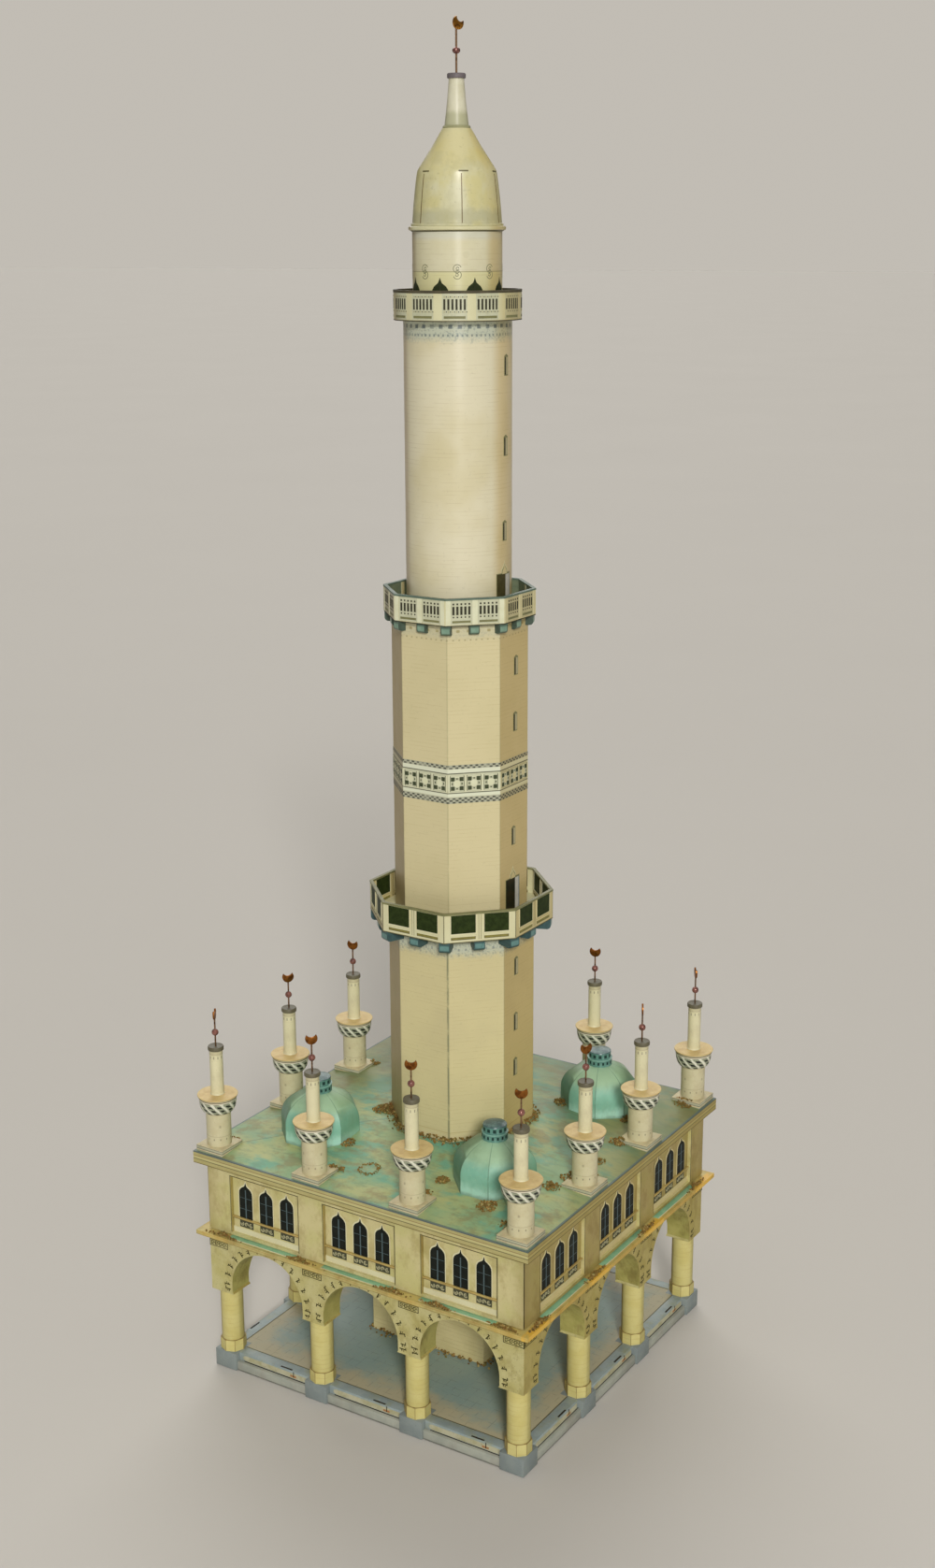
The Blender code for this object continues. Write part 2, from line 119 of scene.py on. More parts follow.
def arc(radius: float, start: float, end: float, steps: int, x: float = 0.0, z: float = 0.0,
        squash: float = 1.0) -> list[tuple[float, float]]:
    """Points along an arc.

    Args:
        radius: radius of the arc.
        start: first angle in degrees.
        end: last angle in degrees.
        steps: stretches between the points.
        x: centre of the arc across.
        z: centre of the arc upwards.
        squash: height of the arc as a share of its width.

    Returns:
        The points.
    """
    turns = [math.radians(start + (end - start) * i / steps) for i in range(steps + 1)]
    return [(x + radius * math.cos(turn), z + squash * radius * math.sin(turn)) for turn in turns]


def pointed(right: Outline, tip: float) -> list[tuple[float, float]]:
    """Outline from its right half and the height of its tip."""
    return [*right, (0.0, tip)] + [(-x, z) for x, z in reversed(right)]


class Slot(Enum):
    """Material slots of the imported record."""

    CREAM = "cream_card"
    YELLOW = "yellow_card"
    STONE = "blue_grey_card"
    AQUA = "aqua_card"
    BRASS = "brass_wire"


class Side(Enum):
    """Sides of the base, by azimuth in degrees."""

    FRONT = 0
    RIGHT = 90
    BACK = 180
    LEFT = 270

    @property
    def turn(self) -> Matrix:
        """Turn that takes the front to this side."""
        return around(self.value)

    @property
    def bays(self) -> list[Matrix]:
        """Places of the side's three bays, for what is made at the middle of the front."""
        return [self.turn @ at(x, 0.0, 0.0) for x in BAYS]

    @property
    def word(self) -> str:
        """Name of the side in node and piece names."""
        return self.name.lower()


class Value:
    """A number or colour that the nodes of a sheet work out, used like a plain number."""

    def __init__(self, sheet: NodeSheet, socket: bpy.types.NodeSocket) -> None:
        """Keep the sheet and the socket that gives the value."""
        self.sheet = sheet
        self.socket = socket

    def __add__(self, other: Value | float) -> Value:
        """Sum."""
        return self.sheet.math("ADD", self, other)

    def __sub__(self, other: Value | float) -> Value:
        """Difference."""
        return self.sheet.math("SUBTRACT", self, other)

    def __rsub__(self, other: float) -> Value:
        """Difference from a plain number."""
        return self.sheet.math("SUBTRACT", other, self)

    def __mul__(self, other: Value | float) -> Value:
        """Product."""
        return self.sheet.math("MULTIPLY", self, other)

    def __truediv__(self, other: Value | float) -> Value:
        """Quotient."""
        return self.sheet.math("DIVIDE", self, other)

    def __abs__(self) -> Value:
        """The number without its sign."""
        return self.sheet.math("ABSOLUTE", self)

    def phase(self) -> Value:
        """What the number has over a whole one."""
        return self.sheet.math("FRACT", self)

    def larger(self, other: Value | float) -> Value:
        """The larger of two numbers."""
        return self.sheet.math("MAXIMUM", self, other)

    def step(self, low: float, high: float) -> Value:
        """Smooth step.

        Args:
            low: number where the step is 0.
            high: number where the step is 1.

        Returns:
            The step.
        """
        node = self.sheet.node("ShaderNodeMapRange")
        node.interpolation_type = "SMOOTHSTEP"
        self.sheet.feed(node.inputs[0], self)
        node.inputs[1].default_value = low
        node.inputs[2].default_value = high
        return Value(self.sheet, node.outputs[0])

    def within(self, low: float, high: float, soft: float) -> Value:
        """1 between two numbers and 0 outside, with soft edges."""
        return self.step(low - soft, low + soft) - self.step(high - soft, high + soft)


class NodeSheet:
    """Nodes of one material: the place in millimetres, and the colour that is laid on it."""

    def __init__(self, name: str, own: bool = False) -> None:
        """Start a material with a Principled shader.

        Args:
            name: name of the material.
            own: whether the place is the one that the piece stores, not the object's.
        """
        self.material = bpy.data.materials.new(name)
        self.material.use_nodes = True
        self.tree = self.material.node_tree
        self.shader = self.tree.nodes["Principled BSDF"]
        source = self.attribute(Bench.OWN_PLACE) if own else self.node("ShaderNodeTexCoord")
        place = source.outputs["Vector" if own else "Object"]
        self.place = self.stretched(Value(self, place), (1 / MM, 1 / MM, 1 / MM))
        self.x, self.y, self.z = self.parts(self.place)
        self.colour: Value | Ink = ink(255, 255, 255)

    def node(self, kind: str) -> bpy.types.Node:
        """A new node."""
        return self.tree.nodes.new(kind)

    def attribute(self, name: str) -> bpy.types.Node:
        """Read an attribute of the mesh.

        Args:
            name: name of the attribute.

        Returns:
            The node that reads it.
        """
        node = self.node("ShaderNodeAttribute")
        node.attribute_name = name
        return node

    def feed(self, socket: bpy.types.NodeSocket, value: Value | Ink | float) -> None:
        """Link a socket to a value, or set it.

        Args:
            socket: socket that takes the value.
            value: worked out value, plain number or plain colour.
        """
        if isinstance(value, Value):
            self.tree.links.new(value.socket, socket)
        else:
            socket.default_value = value

    def set(self, **numbers: float) -> None:
        """Set plain numbers on the shader, by the words of their sockets."""
        for words, number in numbers.items():
            self.shader.inputs[words.replace("_", " ")].default_value = number

    def math(self, operation: str, first: Value | float, second: Value | float = 0.0) -> Value:
        """One Math node.

        Args:
            operation: what the node does.
            first: its first number.
            second: its second number.

        Returns:
            The result.
        """
        node = self.node("ShaderNodeMath")
        node.operation = operation
        self.feed(node.inputs[0], first)
        self.feed(node.inputs[1], second)
        return Value(self, node.outputs[0])

    def mix(self, share: Value | float, first: Value | Ink, second: Value | Ink, blend: str = "MIX") -> Value:
        """Colour between two colours.

        Args:
            share: how much of the second colour there is.
            first: colour below.
            second: colour on top.
            blend: how they mix.

        Returns:
            The colour.
        """
        node = self.node("ShaderNodeMix")
        node.data_type = "RGBA"
        node.blend_type = blend
        for index, value in ((0, share), (6, first), (7, second)):
            self.feed(node.inputs[index], value)
        return Value(self, node.outputs[2])

    def paint(self, mask: Value, colour: Value | Ink, blend: str = "MIX") -> None:
        """Lay a colour over the print where a mask is 1."""
        self.colour = self.mix(mask, self.colour, colour, blend)

    def stretched(self, vector: Value, factors: tuple[float, float, float]) -> Value:
        """Scale a vector along each axis.

        Args:
            vector: the vector.
            factors: its factors along the axes.

        Returns:
            The scaled vector.
        """
        node = self.node("ShaderNodeVectorMath")
        node.operation = "MULTIPLY"
        self.feed(node.inputs[0], vector)
        node.inputs[1].default_value = factors
        return Value(self, node.outputs[0])

    def noise(self, size: float, detail: float = 3.0, rough: float = 0.55,
              stretch: tuple[float, float, float] | None = None) -> Value:
        """Noise over the place.

        Args:
            size: about the size of its lumps.
            detail: finer layers.
            rough: strength of the finer layers.
            stretch: factors on the place along each axis.

        Returns:
            The noise.
        """
        node = self.node("ShaderNodeTexNoise")
        self.feed(node.inputs["Vector"], self.stretched(self.place, stretch) if stretch else self.place)
        node.inputs["Scale"].default_value = 1.0 / size
        node.inputs["Detail"].default_value = detail
        node.inputs["Roughness"].default_value = rough
        return Value(self, node.outputs[0])

    def parts(self, vector: Value) -> list[Value]:
        """Take a vector apart.

        Args:
            vector: the vector.

        Returns:
            Its three parts.
        """
        node = self.node("ShaderNodeSeparateXYZ")
        self.feed(node.inputs[0], vector)
        return [Value(self, socket) for socket in node.outputs]

    def normal(self) -> list[Value]:
        """The three parts of the surface's own normal."""
        return self.parts(Value(self, self.node("ShaderNodeNewGeometry").outputs["Normal"]))

    def turn(self) -> Value:
        """Angle round the axis as a share of the circle, from +X."""
        return self.math("ARCTAN2", self.y, self.x) / (2 * math.pi)

    def bump(self, height: Value, depth: float, strength: float) -> None:
        """Raise the surface.

        Args:
            height: height of the relief, from 0 to 1.
            depth: depth of the relief.
            strength: how much of it shows.
        """
        node = self.node("ShaderNodeBump")
        node.inputs["Distance"].default_value = depth * MM
        node.inputs["Strength"].default_value = strength
        self.feed(node.inputs["Height"], height)
        self.feed(self.shader.inputs["Normal"], Value(self, node.outputs[0]))


@dataclass(frozen=True)
class Band:
    """A printed band between two heights."""

    low: float
    high: float
    colour: Ink
    soft: float = 0.06
    ragged: float = 0.0
    share: float = 1.0
    grain: float = 0.0


@dataclass(frozen=True)
class DotRow:
    """A printed row of small dots round a shaft."""

    height: float
    tall: float
    count: int
    fill: float
    colour: Ink
    share: float = 0.7
    shift: float = 0.0


@dataclass(frozen=True)
class Speck:
    """Small specks on a print."""

    share: float
    colour: Ink = ink(120, 95, 60)
    size: float = 0.5


@dataclass(frozen=True)
class Stain:
    """Smears on a print."""

    colour: Ink
    share: float = 0.5
    size: float = 6.0


@dataclass(frozen=True)
class Courses:
    """Broken lines of masonry courses."""

    pitch: float
    share: float = 0.42
    colour: Ink = ink(165, 148, 105)


@dataclass(frozen=True)
class Folds:
    """Lines along the folds of a shaft: their number, and their half width as a share of a facet."""

    count: int
    half: float
    share: float
    colour: Ink


@dataclass(frozen=True)
class CardFinish:
    """Printed card: a ground colour with blotches, bands, courses, dots, specks and smears, and painted shade
    on its sides.
    """

    name: str
    ground: Ink
    blush: Ink
    blotch: float = 14.0
    blush_share: float = 0.5
    speck: Speck | None = None
    stain: Stain | None = None
    courses: Courses | None = None
    folds: Folds | None = None
    bands: tuple[Band, ...] = ()
    dots: tuple[DotRow, ...] = ()
    # Colours multiplied in as painted shade, on the sides that face azimuth 105 and azimuth -75.
    painted_shade: Ink | None = None
    left_painted_shade: Ink = (0.7, 0.62, 0.52, 1.0)
    seam: float | None = None
    own: bool = False
    rough: float = 0.52
    uneven: float = 0.12

    def lay(self, sheet: NodeSheet) -> None:
        """Lay out the printed colour, then the painted shade.

        Args:
            sheet: node sheet of the material, which keeps the colour.
        """
        clouds = sheet.noise(self.blotch).step(0.38, 0.66)
        sheet.colour = sheet.mix(clouds * self.blush_share, self.ground, self.blush)
        self.lay_bands(sheet)
        if self.courses:
            self.lay_courses(sheet, self.courses)
        if self.dots or self.folds:
            self.lay_round(sheet)
        if self.speck:
            grains = sheet.noise(self.speck.size, 2.0, 0.7).step(0.6, 0.72)
            sheet.paint(grains * self.speck.share, self.speck.colour)
        if self.stain:
            smears = sheet.noise(self.stain.size, 5.0, 0.68, (1.0, 1.0, 0.6)).step(0.46, 0.66)
            sheet.paint(smears * self.stain.share, self.stain.colour)
        self.lay_painted_shade(sheet)

    def lay_bands(self, sheet: NodeSheet) -> None:
        """Lay the bands, some of them with ragged edges or in grains.

        Args:
            sheet: node sheet of the material.
        """
        ragged = sheet.noise(2.6, 4.0, 0.65) - 0.5
        for band in self.bands:
            mask = (ragged * (2 * band.ragged) + sheet.z).within(band.low, band.high, band.soft) * band.share
            if band.grain:
                mask = mask * sheet.noise(band.grain, 2.0, 0.7).step(0.52, 0.62)
            sheet.paint(mask, band.colour)

    def lay_painted_shade(self, sheet: NodeSheet) -> None:
        """Paint shade on the sides that face azimuth 105, and more on those that face azimuth -75.

        Args:
            sheet: node sheet of the material.
        """
        if self.painted_shade is None:
            return
        x, y, _ = sheet.normal()
        flat = sheet.math("SQRT", x * x + y * y)
        facing = (x * 0.966 + y * 0.259) / flat.larger(0.2)
        sheet.paint(facing.step(0.8, 0.95), self.painted_shade, "MULTIPLY")
        sheet.paint(facing.step(-0.68, -0.86), self.left_painted_shade, "MULTIPLY")

    @staticmethod
    def lay_courses(sheet: NodeSheet, courses: Courses) -> None:
        """Lay the broken lines of the courses.

        Args:
            sheet: node sheet of the material.
            courses: their pitch, share and colour.
        """
        line = (sheet.z / courses.pitch).phase().within(0.0, 0.16, 0.07)
        broken = sheet.noise(2.2, 2.0, stretch=(0.35, 0.35, 2.4)).step(0.42, 0.62)
        sheet.paint(line * broken * courses.share, courses.colour)

    def lay_round(self, sheet: NodeSheet) -> None:
        """Lay rows of dots, lines along the folds, and the seam of a shaft.

        Args:
            sheet: node sheet of the material.
        """
        uneven = sheet.noise(3.0, 2.0).step(0.1, 0.5)
        turn = sheet.turn()
        for row in self.dots:
            phase = (turn * row.count + (row.count + row.shift)).phase()
            column = phase.within(0.5 - row.fill / 2, 0.5 + row.fill / 2, 0.06)
            line = sheet.z.within(row.height - row.tall / 2, row.height + row.tall / 2, 0.1)
            sheet.paint(column * line * uneven * row.share, row.colour)
        if self.folds:
            phase = (turn * self.folds.count + (self.folds.count + 0.5)).phase()
            line = abs(phase - 0.5).step(0.5 - 2 * self.folds.half, 0.5 - self.folds.half)
            sheet.paint(line * uneven * self.folds.share, self.folds.colour)
        if self.seam is not None:
            worn = sheet.noise(2.4, 4.0, 0.7, (1.0, 1.0, 0.5))
            spot = (self.seam - 90) / 360
            line = (worn * 0.002 + turn).within(spot - 0.0012, spot + 0.0028, 0.0016)
            sheet.paint(line * worn.step(0.3, 0.55) * 0.75, ink(110, 116, 90))

    def build(self) -> bpy.types.Material:
        """Make the material, with the fine tooth of the card.

        Returns:
            The material.
        """
        sheet = NodeSheet(self.name, self.own)
        self.lay(sheet)
        sheet.feed(sheet.shader.inputs["Base Color"], sheet.colour)
        sheet.set(Specular_IOR_Level=0.42 if max(self.ground[:3]) > 0.1 else 0.12)
        tooth, soft = sheet.noise(0.22, 3.0, 0.6), sheet.noise(6.0, 2.0, 0.5)
        sheet.feed(sheet.shader.inputs["Roughness"], soft * (2 * self.uneven) + (self.rough - self.uneven))
        sheet.bump(tooth + soft * 1.5, 0.02, 0.35)
        return sheet.material


@dataclass(frozen=True)
class WovenBandFinish(CardFinish):
    """Card with a slanting black, white and green band round a turret."""

    weave_low: float = 11.2
    weave_high: float = 15.3
    weave_count: int = 12
    weave_rows: float = 3.1
    weave_slant: float = 1.2

    def lay(self, sheet: NodeSheet) -> None:
        """Lay the slanting band over the card's own print.

        Args:
            sheet: node sheet of the material.
        """
        super().lay(sheet)
        rise = (sheet.z - self.weave_low) / (self.weave_high - self.weave_low)
        jitter = sheet.noise(1.0, 2.0) * 0.36 - 0.18
        column = (rise * self.weave_slant + sheet.turn() * self.weave_count + self.weave_count).phase()
        row = (rise * self.weave_rows + 0.2).phase()
        black = (column + jitter).within(0.08, 0.54, 0.04) * (row - jitter).within(0.2, 0.76, 0.06)
        white = (column - jitter).within(0.62, 0.94, 0.04)
        weave = sheet.mix(black, sheet.mix(white, ink(150, 156, 132), ink(222, 222, 204)), ink(20, 22, 20))
        sheet.paint(sheet.z.within(self.weave_low, self.weave_high, 0.04), weave)


@dataclass(frozen=True)
class RoofFinish(CardFinish):
    """Verdigris roof: sage and turquoise patches, hip lines and a printed fascia."""

    hip: Ink = ink(96, 110, 92)
    turquoise: Ink = ink(100, 166, 142)
    earth: Ink = ink(136, 120, 74)
    brush: Ink = ink(106, 132, 104)
    # Painted shade, laid on the slopes towards the back and the sides.
    far: Ink = ink(108, 110, 64)
    rim: Ink = ink(84, 104, 110)

    def lay(self, sheet: NodeSheet) -> None:
        """Lay the patches on the slopes, with painted shade towards their back and sides, then the lines and
        the painted shade of the fascia.

        Args:
            sheet: node sheet of the material.
        """
        streaks = sheet.noise(15.0, 4.0, 0.58, (0.6, 1.1, 0.3))
        patches = sheet.noise(12.0, 4.0, 0.6, (0.7, 1.0, 1.0))
        brushed = sheet.noise(3.0, 4.0, 0.7, (0.5, 1.4, 1.0))
        stains = sheet.noise(12.0, 5.0, 0.7, (0.9, 1.1, 1.0)) - patches * 0.22
        across, along = abs(sheet.x), abs(sheet.y)
        sheet.colour = sheet.mix(streaks.step(0.36, 0.62), self.ground, self.blush)
        for mask, colour in (
                (patches.step(0.49, 0.62) * 0.8, self.turquoise),
                (brushed.step(0.48, 0.66) * 0.4, self.brush),
                (stains.step(0.38, 0.52) * 0.55, self.earth),
                # Painted shade towards the back and the sides of the slopes.
                ((across + sheet.y).step(10.0, 80.0) * 0.7, self.far),
                ((1.0 - abs(across - along).step(0.15, 0.5)) * 0.55, self.hip),
                (across.larger(along).step(ROOF_HALF - 0.75, ROOF_HALF - 0.55) * 0.8, self.rim)):
            sheet.paint(mask, colour)
        slopes = sheet.colour
        sheet.colour = sheet.mix(sheet.noise(5.0, 5.0, 0.7), ink(190, 184, 128), ink(160, 148, 92))
        self.lay_bands(sheet)
        self.lay_painted_shade(sheet)
        upright = 1.0 - abs(sheet.normal()[2]).step(0.3, 0.6)
        sheet.colour = sheet.mix(upright, slopes, sheet.colour)


@dataclass(frozen=True)
class WallFinish(CardFinish):
    """Card of the storey, darker towards the corners of the building."""

    shade: Ink = ink(142, 124, 72)
    fold: Ink = ink(74, 72, 48)

    def lay(self, sheet: NodeSheet) -> None:
        """Lay the shading at the corners over the print.

        Args:
            sheet: node sheet of the material.
        """
        super().lay(sheet)
        near = sheet.math("MINIMUM", abs(sheet.x), abs(sheet.y))
        cloud = sheet.noise(4.0, 4.0, 0.65) * 5.0 - 2.5
        sheet.paint((near + cloud).step(FACE - 5.5, FACE) * 0.4, self.shade)
        sheet.paint(near.step(FACE - 0.36, FACE - 0.16) * 0.75, self.fold)


@dataclass(frozen=True)
class LedgeFinish(CardFinish):
    """Ochre ledge, golden in front of each pilaster."""

    gold: Ink = ink(226, 182, 72)

    def lay(self, sheet: NodeSheet) -> None:
        """Lay golden patches at the pilasters over the ochre.

        Args:
            sheet: node sheet of the material.
        """
        super().lay(sheet)
        ragged = sheet.noise(3.0, 5.0, 0.75) * 12.0 - 6.0
        masks = []
        for along, across in ((sheet.x, sheet.y), (sheet.y, sheet.x)):
            off = abs((along / BAY).phase() - 0.5) * BAY
            masks.append((off + ragged).step(8.0, 4.0) * abs(across).step(58.0, 59.4))
        right = sheet.x.step(59.4, 60.4)
        sheet.paint(masks[0].larger(masks[1]) * (right * 0.55 + 0.25) + right * 0.25, self.gold)


@dataclass(frozen=True)
class FloorFinish(CardFinish):
    """Printed paving, teal grey under the roof and sandy towards the edges."""

    tile: float = 3.4
    sand: Ink = ink(176, 166, 134)
    joint: Ink = ink(84, 96, 96)

    def lay(self, sheet: NodeSheet) -> None:
        """Lay the sandy edges and the joints over the print.

        Args:
            sheet: node sheet of the material.
        """
        super().lay(sheet)
        ragged = sheet.noise(9.0, 4.0, 0.6) * 22.0 - 11.0
        sheet.paint((abs(sheet.x).larger(abs(sheet.y)) + ragged).step(40.0, 51.0) * 0.85, self.sand)
        lines = [(along / self.tile).phase().within(0.0, 0.07, 0.03) for along in (sheet.x, sheet.y)]
        worn = sheet.noise(3.0, 3.0).step(0.45, 0.62)
        sheet.paint(lines[0].larger(lines[1]) * worn * 0.4, self.joint)


@dataclass(frozen=True)
class MossFinish:
    """Dyed foam scatter, a different colour for every crumb."""

    name: str
    stops: tuple[tuple[float, Ink], ...]

    def build(self) -> bpy.types.Material:
        """Make the material.

        Returns:
            The material.
        """
        sheet = NodeSheet(self.name)
        ramp = sheet.node("ShaderNodeValToRGB")
        stops = ramp.color_ramp.elements
        for index, (spot, colour) in enumerate(self.stops):
            stop = stops[index] if index < 2 else stops.new(spot)
            stop.position = spot
            stop.color = colour
        tint = sheet.attribute(MossScatter.TINT).outputs["Fac"]
        sheet.feed(ramp.inputs[0], Value(sheet, tint))
        shade = sheet.math("MINIMUM", sheet.noise(0.4) * 0.8 + 0.35, 1.0)
        crumbs = Value(sheet, ramp.outputs[0])
        sheet.feed(sheet.shader.inputs["Base Color"], sheet.mix(shade, ink(84, 66, 34), crumbs))
        sheet.set(Roughness=0.95, Specular_IOR_Level=0.15)
        sheet.bump(sheet.noise(0.25), 0.12, 0.9)
        return sheet.material


@dataclass(frozen=True)
class MetalFinish:
    """Wire, bead or crescent with tarnish."""

    name: str
    colour: Ink
    tarnish: Ink
    rough: float = 0.3
    metallic: float = 1.0

    def build(self) -> bpy.types.Material:
        """Make the material.

        Returns:
            The material.
        """
        sheet = NodeSheet(self.name)
        patches = sheet.noise(1.4, 4.0).step(0.42, 0.68)
        sheet.feed(sheet.shader.inputs["Base Color"], sheet.mix(patches, self.colour, self.tarnish))
        sheet.feed(sheet.shader.inputs["Roughness"], patches * 0.25 + self.rough)
        sheet.set(Metallic=self.metallic)
        sheet.bump(sheet.noise(0.3, 2.0), 0.02, 0.3)
        return sheet.material


Finish = CardFinish | MossFinish | MetalFinish


class Paint:
    """The finishes of the model, each made once."""

    made: dict[str, bpy.types.Material] = {}

    @classmethod
    def dress(cls, item: Piece, finish: Finish) -> None:
        """Dress a piece in a finish, whose material is made on first use.

        Args:
            item: the piece.
            finish: its finish.
        """
        if finish.name not in cls.made:
            cls.made[finish.name] = finish.build()
        item.data.materials.clear()
        item.data.materials.append(cls.made[finish.name])


class Bench:
    """Modelling steps shared by the classes, made with Blender's operators."""

    OWN_PLACE = "own_place"

    @staticmethod
    def clear() -> None:
        """Leave edit mode and deselect everything."""
        if bpy.context.object is not None and bpy.context.object.mode == "EDIT":
            bpy.ops.object.mode_set(mode="OBJECT")
        bpy.ops.object.select_all(action="DESELECT")

    @staticmethod
    def only(item: Piece) -> None:
        """Select one piece alone and make it active.

        Args:
            item: the piece.
        """
        Bench.clear()
        item.select_set(True)
        bpy.context.view_layer.objects.active = item

    @staticmethod
    def edit(item: Piece) -> None:
        """Enter edit mode on one piece with all of it selected.

        Args:
            item: the piece.
        """
        Bench.only(item)
        bpy.ops.object.mode_set(mode="EDIT")
        bpy.ops.mesh.select_all(action="SELECT")

    @staticmethod
    def close() -> Piece:
        """Turn the faces of the edited piece outwards and leave edit mode.

        Returns:
            The piece.
        """
        bpy.ops.mesh.select_all(action="SELECT")
        bpy.ops.mesh.normals_make_consistent(inside=False)
        bpy.ops.object.mode_set(mode="OBJECT")
        return bpy.context.object

    @staticmethod
    def smooth(item: Piece) -> Piece:
        """Shade the round faces of a piece as round.

        Args:
            item: the piece.

        Returns:
            The piece.
        """
        Bench.only(item)
        bpy.ops.object.shade_smooth_by_angle(angle=SMOOTH_LIMIT)
        return item

    @staticmethod
    def dressed(item: Piece, finish: Finish) -> Piece:
        """Put the place of a piece in its mesh and dress it.

        Args:
            item: the piece.
            finish: its finish.

        Returns:
            The piece.
        """
        Bench.only(item)
        item.data.transform(item.matrix_world)
        item.matrix_world = Matrix.Identity(4)
        Paint.dress(item, finish)
        return item

    @staticmethod
    def spun(profile: Outline, steps: int, sweep: float, reach: float = 1.0) -> Piece:
        """Draw a profile out from one point and spin it, in edit mode.

        Args:
            profile: (radius, height) points.
            steps: steps of the spin.
            sweep: degrees of the spin, from +X.
            reach: factor on the radii.

        Returns:
            The piece, its doubles merged.
        """
        Bench.clear()
        bpy.ops.mesh.primitive_plane_add(size=MM)
        item = bpy.context.object
        Bench.edit(item)
        bpy.ops.mesh.merge(type="CENTER")
        radius, height = profile[0]
        bpy.ops.transform.translate(value=(radius * reach * MM, 0.0, height * MM))
        for (r_a, z_a), (r_b, z_b) in zip(profile, profile[1:]):
            move = ((r_b - r_a) * reach * MM, 0.0, (z_b - z_a) * MM)
            bpy.ops.mesh.extrude_vertices_move(TRANSFORM_OT_translate={"value": move})
        bpy.ops.mesh.select_all(action="SELECT")
        bpy.ops.mesh.spin(steps=steps, angle=math.radians(sweep), center=(0, 0, 0), axis=(0, 0, 1))
        bpy.ops.mesh.select_all(action="SELECT")
        bpy.ops.mesh.remove_doubles(threshold=MERGE_REACH)
        return item

    @staticmethod
    def turned(profile: Outline, sides: int, finish: Finish) -> Piece:
        """Spin a profile all the way round.

        With 8 or 4 sides the radius is that of the flats, and the flats face the axes.

        Args:
            profile: (radius, height) points.
            sides: steps of the spin.
            finish: what the piece is dressed in.

        Returns:
            The piece.
        """
        flats = sides in (OCTAGON, SQUARE)
        Bench.spun(profile, sides, 360.0, 1 / math.cos(math.pi / sides) if flats else 1.0)
        item = Bench.close()
        if flats:
            item.rotation_euler.z = math.pi / sides
            bpy.context.view_layer.update()
        return Bench.smooth(Bench.dressed(item, finish))

    @staticmethod
    def tube(outer: float, inner: float, low: float, high: float, sides: int, finish: Finish) -> Piece:
        """Turn a closed ring between two radii and two heights."""
        profile = [(outer, low), (outer, high), (inner, high), (inner, low), (outer, low)]
        return Bench.turned(profile, sides, finish)

    @staticmethod
    def plate(outline: Outline, finish: Finish, depth: float = PRINT_DEPTH, sunk: float = SUNK) -> Piece:
        """A flat piece that faces the front.

        Args:
            outline: (x, z) points.
            finish: what it is dressed in.
            depth: its thickness.
            sunk: how far its back lies behind y = 0.

        Returns:
            The piece.
        """
        Bench.clear()
        bpy.ops.mesh.primitive_circle_add(vertices=len(outline), radius=MM, fill_type="NGON")
        item = bpy.context.object
        for vertex, (x, z) in zip(item.data.vertices, outline):
            vertex.co = (x * MM, sunk * MM, z * MM)
        Bench.edit(item)
        bpy.ops.mesh.extrude_region_move(TRANSFORM_OT_translate={"value": (0.0, -depth * MM, 0.0)})
        return Bench.dressed(Bench.close(), finish)

    @staticmethod
    def strip(left: float, right: float, low: float, high: float, finish: Finish,
              depth: float = PRINT_DEPTH) -> Piece:
        """A flat rectangle that faces the front."""
        return Bench.plate([(left, low), (right, low), (right, high), (left, high)], finish, depth)

    @staticmethod
    def strips(spans: Iterable[tuple[float, float, float, float]], finish: Finish,
               depth: float) -> list[Piece]:
        """Flat rectangles, each from its left, right, low and high edge."""
        return [Bench.strip(*span, finish, depth) for span in spans]

    @staticmethod
    def block(low: Sequence[float], high: Sequence[float], finish: Finish, bevel: float,
              segments: int = 2) -> Piece:
        """A block with its edges taken off.

        Args:
            low: its lowest corner.
            high: its highest corner.
            finish: what it is dressed in.
            bevel: width of the edges.
            segments: steps of the edges.

        Returns:
            The piece.
        """
        Bench.clear()
        size = [(b - a) * MM for a, b in zip(low, high)]
        middle = [(a + b) / 2 * MM for a, b in zip(low, high)]
        bpy.ops.mesh.primitive_cube_add(size=1.0, location=middle, scale=size)
        item = Bench.dressed(bpy.context.object, finish)
        Bench.edit(item)
        bpy.ops.mesh.bevel(offset=bevel * MM, segments=segments, affect="EDGES")
        bpy.ops.object.mode_set(mode="OBJECT")
        return Bench.smooth(item)

    @staticmethod
    def bent(item: Piece, radius: float, half: float = 0.0, count: int = 1, azimuth: float = 0.0) -> Piece:
        """Cut a flat piece across at even places and bend it round a shaft.

        Args:
            item: a piece that faces the front.
            radius: radius of the shaft.
            half: half of the width that is cut.
            count: number of strips that the cuts leave.
            azimuth: where the middle of the piece goes.

        Returns:
            The piece.
        """
        Bench.edit(item)
        for number in range(1, count):
            spot = (2 * number / count - 1) * half * MM
            bpy.ops.mesh.select_all(action="SELECT")
            bpy.ops.mesh.bisect(plane_co=(spot, 0.0, 0.0), plane_no=(1.0, 0.0, 0.0))
        bpy.ops.object.mode_set(mode="OBJECT")
        for vertex in item.data.vertices:
            x, y, z = vertex.co
            angle = x / (radius * MM) + math.radians(azimuth)
            far = radius * MM - y
            vertex.co = (far * math.sin(angle), -far * math.cos(angle), z)
        return item

    @staticmethod
    def cut(item: Piece, cutter: Piece) -> None:
        """Cut a piece with another, which goes.

        Args:
            item: the piece.
            cutter: what is taken out of it.
        """
        Bench.only(item)
        step = item.modifiers.new("cut", "BOOLEAN")
        step.solver = "EXACT"
        step.material_mode = "TRANSFER"
        step.object = cutter
        bpy.ops.object.modifier_apply(modifier="cut")
        Bench.drop(cutter)

